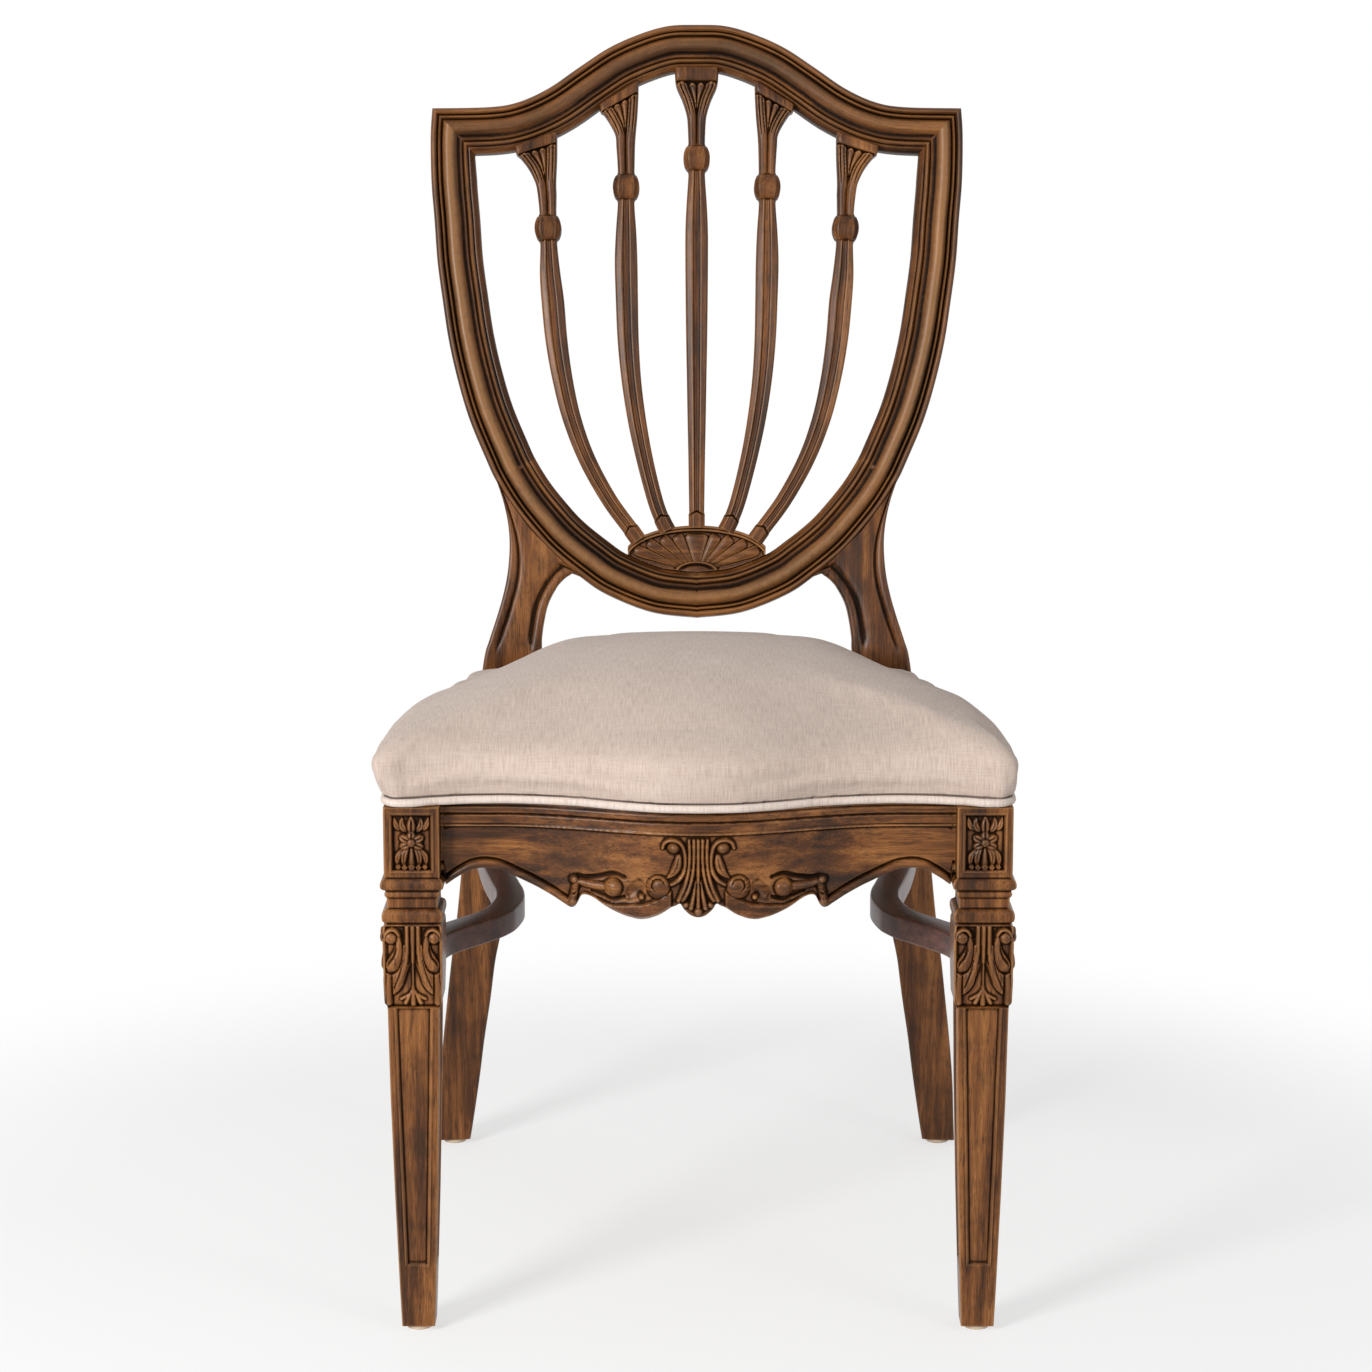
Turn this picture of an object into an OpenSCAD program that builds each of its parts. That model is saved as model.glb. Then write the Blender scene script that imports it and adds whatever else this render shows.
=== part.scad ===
// Carved dining chair: shield-shaped back with five splats, square tapered front legs,
// splayed rear legs, a serpentine front rail, bowed side braces and a crowned seat.
// It faces -Y. Pieces are drawn from the front legs' front face (Y = 0) and the floor
// (Z = 0), then set back so that the chair's middle lies over the origin.

/* [Stance] */
// Depth from the front legs' front face to the back's front face at the knee
seat_run = 400; // [360:1:440]
// Height above the front legs at which the rear legs turn into the back posts
knee_lift = 35.7; // [25:0.1:48]
// Softness of the knee
knee_r = 25; // [10:1:40]
// Lean of the back, and of the rear legs the other way
rake = 11; // [7:0.5:14]
// Hollow of the back, side to side
back_bow = 14; // [4:1:24]
// Thickness of the rear legs at the seat
rear_leg_t = 31; // [27:0.5:36]

/* [Shield] */
// Half width of the shield at its top corners
shield_half = 222; // [205:1:235]
// Height of the shield's lowest edge above the cushion's shoulders
shield_lift = 35.7; // [28:0.1:50]
// Height from the lowest edge to the shoulders
shield_h = 422; // [390:1:450]
// Rise of the crest above the shoulders
crest_rise = 69; // [50:1:80]
// Width of the moulded members
member_w = 37.4; // [30:0.2:40]
// Thickness of the moulded members
member_t = 24; // [20:0.5:30]

/* [Splats] */
// Height of a splat's flared capital
capital_h = 43; // [36:1:50]
// Width of a splat at its neck
splat_w = 14; // [12:0.5:16]
// Thickness of a splat
splat_t = 17; // [14:0.5:20]
// Diameter of the bead on each splat
bead_d = 20.6; // [18:0.2:23]
// Half width of the fan block's top arc
fan_half = 61; // [56:1:66]
// Depth of the fan arc's ends below the shield's inner edge
fan_sink = 3.1; // [1:0.1:6]
// Rise of the fan block's top arc above its ends
fan_rise = 25; // [20:1:30]
// Thickness of the fan block
fan_t = 18; // [14:0.5:22]

/* [Front legs] */
// Width of the square block at the top of a front leg
block_w = 41; // [36:0.5:44]
// Height of the front legs, from the floor to the block's top
leg_h = 404.3; // [380:0.5:420]
// Distance of a front leg's centre from the middle
leg_x = 210.3; // [195:0.5:225]
// Thickness of the glides under the feet
glide_t = 4; // [3:0.5:6]
// Diameter of the glides
glide_d = 20; // [14:0.5:22]

/* [Rails] */
// Height of the front rail at its deepest
front_rail_h = 80; // [70:1:90]
// Thickness of the front rail
front_rail_t = 26; // [22:0.5:30]
// Forward swell of the front rail's middle
front_swell = 33.4; // [20:0.2:40]
// Half length of that swell
swell_half = 148; // [120:1:165]
// Set-back of the front rail's ends behind the legs' front face
rail_setback = 15.6; // [12:0.2:18]
// Height of the side and back rails
rail_h = 51; // [44:1:52]
// Thickness of the side and back rails
rail_t = 24; // [20:0.5:26]
// Set-in of a side rail from the front leg's outer face
side_rail_inset = 2.8; // [0:0.2:6]
// Height of the corner blocks
corner_block_h = 34; // [30:1:40]
// Length of a corner block along each rail
corner_block_l = 54; // [40:1:56]
// Diameter of the dowels
dowel_d = 8; // [6:0.5:9]
// Depth of a dowel in each piece that it joins
dowel_bite = 16; // [12:1:17]

/* [Braces] */
// Gap between a side rail and the brace under it
brace_drop = 53.5; // [35:0.5:70]
// Height of a brace's section
brace_h = 23; // [18:0.5:28]
// Thickness of a brace's section
brace_t = 18; // [14:0.5:22]
// Inward bow of a brace
brace_bow = 46; // [30:1:56]

/* [Seat] */
// Overhang of the seat cover past the front legs
seat_overhang = 12.7; // [8:0.1:18]
// Thickness of the seat board
board_t = 12; // [9:0.5:15]
// Height of the crown above the rails
seat_h = 89; // [75:1:100]
// Height at which the cover's sides turn over
shoulder_h = 40; // [30:1:44]
// Thickness of the seat cover
cover_t = 1.2; // [0.8:0.1:2]
// Diameter of the piping
piping_d = 7; // [5:0.5:9]

/* [Hidden] */

// Clearances: wood to wood, round parts in their bores, soft parts to their neighbours
joint_gap = 0.25;
bore_gap = 0.3;
soft_gap = 0.3;
overrun = 5;

wood = [0.36, 0.22, 0.14];
dark_wood = [0.27, 0.15, 0.1];
inner_wood = [0.72, 0.6, 0.44];
linen = [0.82, 0.76, 0.66];
steel = [0.6, 0.6, 0.58];

// The height that the rails end at and the seat rests on, and what is set out from it
rail_top = leg_h + joint_gap;
rail_low = rail_top - rail_h;
brace_z = rail_low - brace_drop - brace_h;
knee_z = leg_h + knee_lift;
shield_z = leg_h + shoulder_h + shield_lift;
seat_half = leg_x + block_w / 2 + seat_overhang;

function lerp(a, b, t) = a + (b - a) * t;
function unit(v) = v / norm(v);
function spline_at(p, i, t) = let (a = p[max(i - 1, 0)], b = p[i], c = p[i + 1],
    d = p[min(i + 2, len(p) - 1)])
    (2 * b + (c - a) * t + (2 * a - 5 * b + 4 * c - d) * t * t
        + (3 * b - a - 3 * c + d) * t * t * t) / 2;
function smooth(p, n) = concat([for (i = [0:len(p) - 2], k = [0:n - 1])
    spline_at(p, i, k / n)], [p[len(p) - 1]]);
function tangent(p, i) = unit(p[min(i + 1, len(p) - 1)] - p[max(i - 1, 0)]);
function inward(p, i) = let (t = tangent(p, i)) [t[1], -t[0]];

// The lean grows from upright at the knee to the full rake at the shield
function lean(z) = rake * min(1, max(0, (z - knee_z) / (shield_z - knee_z)));
// The face of the back: softened at the knee and hollowed in plan
function back_y(x, z) = seat_run + tan(rake) * sqrt(pow(z - knee_z, 2) + pow(knee_r, 2))
    + back_bow * (1 / 2 - pow(x / shield_half, 2));
// A point at X = x and height z on that face, n in front of it, square to the lean
function on_back(x, z, n) = [x, back_y(x, z) - n * cos(lean(z)), z + n * sin(lean(z))];

// Crest outline, from the middle to the corner: shares of the half width and of the rise
crest_shares = [[0, 1], [0.11, 0.982], [0.22, 0.885], [0.335, 0.715], [0.45, 0.468],
    [0.563, 0.218], [0.676, 0.066], [0.788, 0.018], [1, 0]];
// Stile outline, from the corner down to the joint: shares of the half width and height
stile_shares = [[1, 1], [1.006, 0.945], [1.003, 0.858], [0.991, 0.78], [0.98, 0.701],
    [0.96, 0.623], [0.937, 0.545], [0.903, 0.467], [0.858, 0.389], [0.795, 0.31],
    [0.759, 0.27]];
// Base outline, from below that joint to the middle
base_shares = [[0.7, 0.22], [0.633, 0.175], [0.551, 0.128], [0.446, 0.083],
    [0.341, 0.046], [0.171, 0.011], [0, 0]];
// Where along the whole side outline the post's inner edge runs out
post_end_share = 0.83;
// The members' moulding: share of the width from the outer edge, share of the thickness down
moulding_shares = [[0, 1], [0, 0.14], [0.03, 0.05], [0.06, 0.04], [0.105, 0.1], [0.13, 0.075],
    [0.155, 0.08], [0.2, 0.235], [0.24, 0.21], [0.31, 0.18], [0.355, 0.13], [0.4, 0.066],
    [0.475, 0.033], [0.535, 0.055], [0.585, 0.12], [0.63, 0.17], [0.675, 0.19],
    [0.715, 0.225], [0.765, 0.155], [0.808, 0.215], [0.845, 0.17], [0.89, 0.225],
    [0.94, 0.33], [1, 0.46], [1, 1]];

function flipped(p) = [-p[0], p[1]];
crest_half = [for (s = crest_shares)
    [s[0] * shield_half, shield_z + shield_h + s[1] * crest_rise]];
crest_path = smooth(concat([for (i = [len(crest_half) - 1:-1:1])
    [-crest_half[i][0], crest_half[i][1]]], crest_half), 2);
side_path = smooth([for (s = concat(stile_shares, base_shares))
    [s[0] * shield_half, shield_z + s[1] * shield_h]], 2);
crest_end = len(crest_path) - 1;
side_end = len(side_path) - 1;
joint_i = 2 * (len(stile_shares) - 1);

// The inner corner, where the two offset edges cross
corner_n = inward(crest_path, crest_end) + inward(side_path, 0);
corner_in = side_path[0] + member_w * corner_n * 2 / (corner_n * corner_n);
// Near a corner the inner edge runs straight to the mitre
function offset_in(p, i) = p[i] + member_w * inward(p, i);
mitre_steps = [2, 4];
crest_in = [for (i = [0:crest_end]) let (left = i < crest_end / 2,
    j = left ? i : crest_end - i, k = mitre_steps[0], c = left ? flipped(corner_in) : corner_in)
    j < k ? lerp(c, offset_in(crest_path, left ? k : crest_end - k), j / k)
        : offset_in(crest_path, i)];
side_in = [for (i = [0:side_end]) let (k = mitre_steps[1])
    i < k ? lerp(corner_in, offset_in(side_path, k), i / k)
    : i == side_end ? side_path[i] + [0, member_w] : offset_in(side_path, i)];
base_in = [for (i = [side_end:-1:joint_i]) side_in[i]];

// One ring of a member between edge points a and b, through a section
function ring(a, b, shares, t, front = 0) = [for (s = shares)
    let (c = lerp(a, b, s[0])) on_back(c[0], c[1], front - s[1] * t)];
// A closed skin through rings of equal length, which may run round either way
function total(v, i = 0) = i == len(v) - 1 ? v[i] : v[i] + total(v, i + 1);
function ring_area(r) = total([for (j = [0:len(r) - 1]) cross(r[j], r[(j + 1) % len(r)])]);
module skin(rings) {
    n = len(rings);
    m = len(rings[0]);
    ahead = ring_area(rings[0]) * (total(rings[1]) - total(rings[0])) > 0;
    faces = concat([[for (j = [0:m - 1]) j]], [[for (j = [m - 1:-1:0]) (n - 1) * m + j]],
        [for (i = [0:n - 2], j = [0:m - 1]) let (a = i * m + j, b = i * m + (j + 1) % m)
            each [[a, b + m, b], [a, a + m, b + m]]]);
    polyhedron(points = [for (r = rings) each r], convexity = 12,
        faces = ahead ? faces : [for (f = faces) [for (k = [len(f) - 1:-1:0]) f[k]]]);
}

module mirrored(flip) mirror([flip ? 1 : 0, 0, 0]) children();

// Sets a piece back so that the chair's middle lies over the origin
crest_back_y = back_y(0, shield_z + shield_h + crest_rise) + member_t * cos(rake);
seat_nose_share = -0.0775;
nose_y = seat_nose_share * seat_run;
module placed() translate([0, -(crest_back_y + nose_y) / 2, 0]) children();

// A frame on the back at x, z and a depth: its Z runs up the lean, or turned from it
module at_back(x, z, depth, turn = 0) translate(on_back(x, z, -depth))
    rotate([-rake, 0, 0]) rotate([0, turn, 0]) children();

module pin(l, d) cylinder(h = l, d = d, center = true, $fn = 40);

// The shield's own dowels: through the mitre, the scarf and the post's end
corner_bite_share = 0.78;
shield_bite = dowel_bite * corner_bite_share;
mid_depth = member_t / 2;
function heading(v) = atan2(v[0], v[1]);
module corner_dowel(clear = 0) let (c = lerp(side_path[0], corner_in, 1 / 2),
    v = side_path[0] - corner_in)
    at_back(c[0], c[1], mid_depth, heading([-v[1], v[0]]))
        pin(2 * shield_bite + 2 * clear, dowel_d + clear);
module scarf_dowel(clear = 0) let (c = lerp(side_path[joint_i], side_in[joint_i], 1 / 2))
    at_back(c[0], c[1], mid_depth, heading(tangent(side_path, joint_i)))
        pin(2 * shield_bite + 2 * clear, dowel_d + clear);
module post_dowel(clear = 0) let (c = post_top(1 / 2), i = post_mid_i)
    at_back(c[0], c[1], mid_depth, heading(inward(side_path, i)))
        pin(2 * shield_bite + 2 * clear, dowel_d + clear);
module shield_dowels() color(inner_wood) placed() for (s = [false, true]) mirrored(s) {
    corner_dowel();
    scarf_dowel();
    post_dowel();
}

module crest_rail() color(wood) placed() difference() {
    skin([for (i = [0:crest_end]) ring(crest_path[i], crest_in[i], moulding_shares, member_t)]);
    for (s = [false, true]) mirrored(s) {
        corner_dowel(bore_gap);
        for (k = [1, 2]) crest_pin(k, bore_gap);
    }
    crest_pin(0, bore_gap);
}

// Stile and base stop short of each other by the glue line
joint_side = lerp(side_path[joint_i], side_path[joint_i - 1],
    joint_gap / norm(side_path[joint_i] - side_path[joint_i - 1]));
joint_side_in = lerp(side_in[joint_i], side_in[joint_i - 1],
    joint_gap / norm(side_in[joint_i] - side_in[joint_i - 1]));
corner_drop = [0, -joint_gap];
module shield_stile(flip) color(wood) placed() mirrored(flip) difference() {
    skin([for (i = [0:joint_i]) let (d = i == 0 ? corner_drop : [0, 0])
        ring(i == joint_i ? joint_side : side_path[i] + d,
            i == joint_i ? joint_side_in : side_in[i] + d, moulding_shares, member_t)]);
    corner_dowel(bore_gap);
    scarf_dowel(bore_gap);
    post_dowel(bore_gap);
}
module shield_stile_left() shield_stile(true);
module shield_stile_right() shield_stile(false);

module shield_base_rail() color(wood) placed() difference() {
    skin(concat(
        [for (i = [joint_i:side_end]) ring(side_path[i], side_in[i], moulding_shares, member_t)],
        [for (i = [side_end - 1:-1:joint_i])
            ring(flipped(side_path[i]), flipped(side_in[i]), moulding_shares, member_t)]));
    for (s = [false, true]) mirrored(s) {
        scarf_dowel(bore_gap);
        post_dowel(bore_gap);
    }
}

// Fan block: a half-round shell that stands on the shield's base and carries the splats
fan_z = lookup(fan_half, base_in) - fan_sink;
fan_front = member_t / 8;
fan_end_share = 0.95;
fan_steps = 20;
petals = 13;
petal_spread = 170;
boss_half_share = 0.3;
groove_share = 0.045;
function arc_z(x) = fan_z + fan_rise * sqrt(max(0, 1 - pow(x / fan_half, 2)));
function fan_x(i) = fan_half * fan_end_share * sin(90 * i / fan_steps);
function up(z) = (z - fan_z) / cos(rake);
module fan_plate(t) translate([0, t, 0]) rotate([90, 0, 0]) linear_extrude(t)
    polygon(concat([for (i = [-fan_steps:fan_steps]) [fan_x(i), up(arc_z(fan_x(i)))]],
        [for (i = [fan_steps:-1:-fan_steps])
            [fan_x(i), up(lookup(abs(fan_x(i)), base_in) + joint_gap)]]));
module fan_block() color(wood) placed() {
    hub_z = shield_z + member_w;
    difference() {
        at_back(0, fan_z, fan_front) fan_plate(fan_t);
        // Furrows between the petals, fanned out from the boss
        for (i = [1:petals - 1]) let (a = petal_spread * (i / petals - 1 / 2))
            at_back(0, hub_z, fan_front, a) translate([0, 0, fan_half * boss_half_share])
                cylinder(h = fan_half, d = 2 * groove_share * fan_half, $fn = 24);
        for (k = [-2:2]) mirrored(k < 0) foot_pin(abs(k), bore_gap);
    }
}

// Splats. Each row: shares of the shield's half width, of the run from the fan to the
// capital, and of the neck's width
centre_shares = [[0, 0.015, 0.9], [0, 0.066, 0.93], [0, 0.164, 1], [0, 0.263, 1.1],
    [0, 0.362, 1.18], [0, 0.46, 1.27], [0, 0.559, 1.33], [0, 0.658, 1.37],
    [0, 0.729, 1.36], [0, 0.795, 1.28], [0, 0.864, 1], [0, 0.909, 1], [0, 0.953, 1],
    [0, 0.992, 1.07]];
inner_shares = [[0.131, 0.023, 0.9], [0.159, 0.076, 0.93], [0.197, 0.178, 1],
    [0.227, 0.281, 1.1], [0.248, 0.384, 1.18], [0.26, 0.487, 1.27], [0.265, 0.59, 1.33],
    [0.268, 0.69, 1.36], [0.268, 0.768, 1.28], [0.268, 0.836, 1], [0.268, 0.883, 1],
    [0.268, 0.93, 1], [0.27, 0.992, 1.12]];
outer_shares = [[0.253, 0.03, 0.9], [0.333, 0.114, 0.93], [0.415, 0.228, 1],
    [0.472, 0.343, 1.1], [0.508, 0.457, 1.2], [0.532, 0.572, 1.3], [0.546, 0.686, 1.34],
    [0.556, 0.762, 1.28], [0.561, 0.842, 1], [0.564, 0.894, 1], [0.565, 0.946, 1],
    [0.568, 0.995, 1.12]];
// Capitals: at each edge the share of the half width, and of the capital's height down
// from the crest
centre_cap_shares = [[-0.038, 0.85, 0.038, 0.85], [-0.054, 0.58, 0.054, 0.58],
    [-0.075, 0.33, 0.075, 0.33], [-0.082, 0.15, 0.082, 0.15], [-0.082, 0, 0.082, 0]];
inner_cap_shares = [[0.232, 0.94, 0.309, 0.72], [0.226, 0.62, 0.327, 0.46],
    [0.222, 0.28, 0.352, 0.18], [0.221, 0.13, 0.365, 0.09], [0.221, 0, 0.37, 0]];
outer_cap_shares = [[0.534, 0.88, 0.612, 0.74], [0.531, 0.52, 0.635, 0.45],
    [0.53, 0.25, 0.665, 0.2], [0.53, 0.12, 0.684, 0.09], [0.53, 0, 0.689, 0]];
// Feet on the fan's arc: share of the half width
foot_shares = [0, 0.113, 0.225];
foot_w_share = 1.08;
bead_rows = [11, 10, 9];
splat_moulding_shares = [[0, 1], [0, 0.3], [0.08, 0.14], [0.22, 0.03], [0.32, 0.02],
    [0.4, 0.13], [0.5, 0], [0.6, 0.13], [0.68, 0.02], [0.78, 0.03], [0.92, 0.14],
    [1, 0.3], [1, 1]];
splat_front = member_t / 16;

function splat_shares(k) = [centre_shares, inner_shares, outer_shares][k];
function cap_shares(k) = [centre_cap_shares, inner_cap_shares, outer_cap_shares][k];
function crest_z(x) = lookup(x, crest_in);
function foot_x(k) = foot_shares[k] * shield_half;
function splat_path(k) = let (rows = splat_shares(k), zb = arc_z(foot_x(k)),
    top = rows[len(rows) - 1][0] * shield_half, zt = crest_z(top) - capital_h)
    [for (r = rows) [r[0] * shield_half, lerp(zb, zt, r[1])]];
function cap_mid(k) = let (c = cap_shares(k)[4]) (c[0] + c[2]) / 2 * shield_half;
// The ends run a little long, and are then trimmed to the fan's arc and the crest's edge
end_run = splat_w / 3;
function foot_ring(k) = let (p = splat_path(k), f = [foot_x(k), arc_z(foot_x(k))],
    v = unit(p[1] - f), d = foot_w_share * splat_w / 2 * [v[1], -v[0]], c = f - end_run * v)
    ring(c - d, c + d, splat_moulding_shares, splat_t, -splat_front);
function body_rings(k) = let (p = splat_path(k), rows = splat_shares(k))
    [for (i = [0:len(p) - 1]) let (d = rows[i][2] * splat_w / 2 * inward(p, i))
        ring(p[i] - d, p[i] + d, splat_moulding_shares, splat_t, -splat_front)];
function cap_rings(k) = [for (c = cap_shares(k))
    [for (s = splat_moulding_shares) let (x = lerp(c[0], c[2], s[0]) * shield_half,
        drop = lerp(c[1], c[3], s[0]), low = drop == 0 ? -end_run : drop * capital_h)
        on_back(x, crest_z(x) - low, -splat_front - s[1] * splat_t)]];
module below_fan() at_back(0, fan_z, 2 * member_t) rotate([90, 0, 0])
    linear_extrude(4 * member_t) polygon(concat([[-fan_half, 0]],
        [for (i = [-fan_steps:fan_steps]) [fan_x(i), up(arc_z(fan_x(i)) + joint_gap)]],
        [[fan_half, 0], [fan_half, -fan_half], [-fan_half, -fan_half]]));
// Four corners of a cutter's ring through the back's whole thickness, between two points
function through_ring(a, b) = [for (c = [[a, 1], [a, -2], [b, -2], [b, 1]])
    on_back(c[0][0], c[0][1], c[1] * member_t)];
module above_crest() skin([for (p = crest_in)
    through_ring(p - [0, joint_gap], p + [0, 2 * end_run])]);

// Round tenons at a splat's two ends
pin_d = splat_w / 2;
pin_l = 0.85 * splat_w;
foot_pin_l = 0.55 * splat_w;
splat_mid = splat_front + splat_t / 2;
module crest_pin(k, clear = 0) at_back(cap_mid(k), crest_z(cap_mid(k)), splat_mid)
    pin(2 * (pin_l + clear), pin_d + clear);
module foot_pin(k, clear = 0) let (f = [foot_x(k), arc_z(foot_x(k))])
    at_back(f[0], f[1], splat_mid, heading(splat_path(k)[1] - f))
        pin(2 * (foot_pin_l + clear), pin_d + clear);

module splat(k) {
    p = splat_path(k)[bead_rows[k]];
    difference() {
        skin(concat([foot_ring(k)], body_rings(k), cap_rings(k)));
        below_fan();
        above_crest();
    }
    crest_pin(k);
    foot_pin(k);
    at_back(p[0], p[1], splat_mid) sphere(d = bead_d, $fn = 32);
}
module splat_centre() color(wood) placed() splat(0);
module splat_inner_left() color(wood) placed() mirrored(true) splat(1);
module splat_inner_right() color(wood) placed() splat(1);
module splat_outer_left() color(wood) placed() mirrored(true) splat(2);
module splat_outer_right() color(wood) placed() splat(2);

// Rear legs. Below the knee, each row: shares of the shield's half width to the outer and
// inner edges, share of the knee's height, and share of the leg's thickness
rear_leg_shares = [[1.023, 0.896, 0.01, 0.8], [1.018, 0.882, 0.052, 0.82],
    [1.009, 0.855, 0.141, 0.85], [0.993, 0.832, 0.227, 0.88], [0.973, 0.805, 0.314, 0.91],
    [0.953, 0.782, 0.398, 0.94], [0.929, 0.747, 0.484, 0.96], [0.91, 0.729, 0.568, 0.98],
    [0.887, 0.7, 0.682, 1], [0.86, 0.669, 0.795, 1], [0.831, 0.63, 0.909, 1]];
// Above it: shares of the half width and of the rise to the joint, outer edge then inner,
// and share of the thickness
post_shares = [[0.804, 0.039, 0.59, 0.039, 0.97], [0.784, 0.143, 0.586, 0.143, 0.92],
    [0.759, 0.253, 0.577, 0.245, 0.87], [0.737, 0.357, 0.561, 0.34, 0.82],
    [0.719, 0.468, 0.53, 0.425, 0.77], [0.71, 0.571, 0.508, 0.462, 0.77],
    [0.708, 0.68, 0.492, 0.48, 0.77], [0.716, 0.786, 0.48, 0.489, 0.77],
    [0.734, 0.896, 0.47, 0.495, 0.77], [0.759, 1, 0.46, 0.5, 0.77]];
post_flare_i = 4;
// The post's moulding, as shares of its width and thickness; the leg below keeps the
// outermost rounding only
post_moulding_shares = [[0, 1], [0, 0.1], [0.04, 0.02], [0.1, 0], [0.17, 0.02],
    [0.205, 0.12], [0.25, 0.12], [0.3, 0.04], [0.5, 0.02], [0.7, 0.04], [0.75, 0.12],
    [0.795, 0.12], [0.83, 0.02], [0.9, 0], [0.96, 0.02], [1, 0.1], [1, 1]];
leg_moulding_shares = [for (s = post_moulding_shares) [s[0], s[1] == 1 ? 1
    : s[0] < 0.04 || s[0] > 0.96 ? 0.12 : s[0] < 0.1 || s[0] > 0.9 ? 0.04 : 0]];

joint_rise = side_path[joint_i][1] - knee_z;
post_end_i = round(post_end_share * side_end);
post_mid_i = round((joint_i + post_end_i) / 2);
// A point along the shield's outer edge between the post's two sides, t from 0 to 1
function post_top(t) = let (f = joint_i + t * (post_end_i - joint_i), i = floor(f))
    lerp(side_path[i], side_path[min(i + 1, side_end)], f - i);
// The post runs into the shield's member, where it is trimmed to the member's edge
post_root = member_w / 6;
function post_out(t) = let (f = joint_i + t * (post_end_i - joint_i), i = floor(f))
    post_top(t) + post_root * min(1, 8 * min(t, 1 - t)) * inward(side_path, i);
module within_shield() skin([for (i = [joint_i - 3:side_end])
    through_ring(side_path[i] - joint_gap * inward(side_path, i), side_in[i])]);
function post_side(i) = let (s = post_shares[i], last = len(post_shares) - 1)
    i == last ? [post_top(0), post_top(1), s[4]]
    : [[s[0] * shield_half, knee_z + s[1] * joint_rise],
        [s[2] * shield_half, knee_z + s[3] * joint_rise], s[4]];
function post_ring(i) = let (p = post_side(i), last = len(post_shares) - 1,
    f = pow(max(0, (i - post_flare_i) / (last - post_flare_i)), 2))
    [for (s = post_moulding_shares) let (c = lerp(p[0], p[1], s[0])
        + f * (post_out(s[0]) - lerp(post_top(0), post_top(1), s[0])))
        on_back(c[0], c[1], -s[1] * p[2] * rear_leg_t)];
function leg_ring(i) = let (r = rear_leg_shares[i], z = max(glide_t, r[2] * knee_z))
    ring([r[0] * shield_half, i == 0 ? glide_t : z], [r[1] * shield_half,
        i == 0 ? glide_t : z], leg_moulding_shares, r[3] * rear_leg_t);

// Where a rear leg's inner edge lies at height z
function rear_in_x(z) = shield_half * lookup(z, concat(
    [for (r = rear_leg_shares) [r[2] * knee_z, r[1]]],
    [[knee_z + post_shares[0][3] * joint_rise, post_shares[0][2]]]));
function rear_out_x(z) = shield_half * lookup(z / knee_z, [for (r = rear_leg_shares) [r[2], r[0]]]);

module rear_leg(flip) color(dark_wood) placed() mirrored(flip) difference() {
    union() {
        skin(concat([for (i = [0:len(rear_leg_shares) - 1]) leg_ring(i)],
            [for (i = [0:len(post_shares) - 1]) post_ring(i)]));
        lozenge();
    }
    within_shield();
    post_dowel(bore_gap);
    side_rear_dowels(bore_gap);
    back_dowels(bore_gap);
    brace_rear_dowel(bore_gap);
    glide_bore(rear_foot());
}
module rear_leg_left() rear_leg(true);
module rear_leg_right() rear_leg(false);

// Carved lozenge on a rear leg's front face, below the brace
lozenge_w = 0.46 * (rear_out_x(brace_z) - rear_in_x(brace_z));
lozenge_h = 1.5 * lozenge_w;
lozenge_t = lozenge_w / 8;
lozenge_z = brace_z - 1.2 * lozenge_h;
module lozenge() let (x = lerp(rear_in_x(lozenge_z), rear_out_x(lozenge_z), 0.4))
    translate([x, back_y(x, lozenge_z), lozenge_z]) rotate([rake, 0, 0])
    rotate([90, 0, 0]) translate([0, 0, -lozenge_t]) linear_extrude(2 * lozenge_t)
        difference() {
            polygon([[lozenge_w / 2, 0], [0, lozenge_h / 2], [-lozenge_w / 2, 0],
                [0, -lozenge_h / 2]]);
            polygon([[lozenge_w / 4, 0], [0, lozenge_h / 4], [-lozenge_w / 4, 0],
                [0, -lozenge_h / 4]]);
        }

// Glides: a pin in the foot and a round pad under it
glide_pin_d = glide_d / 4;
glide_pin_l = glide_d * 0.6;
function front_foot() = [leg_x, block_w / 2];
function rear_foot() = let (r = rear_leg_shares[0], x = (r[0] + r[1]) / 2 * shield_half)
    [x, back_y(x, glide_t) + r[3] * rear_leg_t / 2];
module glide_bore(p) translate([p[0], p[1], 0])
    cylinder(h = glide_t + glide_pin_l + bore_gap, d = glide_pin_d + bore_gap, $fn = 32);
module foot_glides() color(linen) placed() for (s = [false, true], p = [front_foot(),
    rear_foot()]) mirrored(s) translate([p[0], p[1], 0]) {
        cylinder(h = glide_t - joint_gap / 2, d = glide_d, $fn = 48);
        cylinder(h = glide_t + glide_pin_l, d = glide_pin_d, $fn = 32);
    }

// Front legs. Silhouette: shares of the block's half width and of the leg's height
front_leg_shares = [[0.602, 0], [0.656, 0.067], [0.783, 0.262], [0.885, 0.453],
    [0.937, 0.623], [1.024, 0.63], [1.061, 0.68], [1.085, 0.775], [1.054, 0.78],
    [1.09, 0.784], [1.103, 0.7915], [1.09, 0.799], [1.03, 0.806], [0.956, 0.809],
    [0.922, 0.814], [0.915, 0.8286], [0.95, 0.832], [1.02, 0.835], [1.093, 0.839],
    [1.137, 0.846], [1.146, 0.853], [1.132, 0.861], [1.083, 0.866], [1.02, 0.868],
    [1, 0.87], [1, 1]];
block_share = 0.87;
capital_shares = [0.63, 0.78];
panel_shares = [[0.36, 0.13], [0.61, 0.62]];
panel_sink = block_w / 30;
block_half = block_w / 2;
function leg_z(share) = glide_t + share * (leg_h - glide_t);
leg_outline = [for (s = front_leg_shares) [s[0] * block_half, leg_z(s[1])]];
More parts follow.
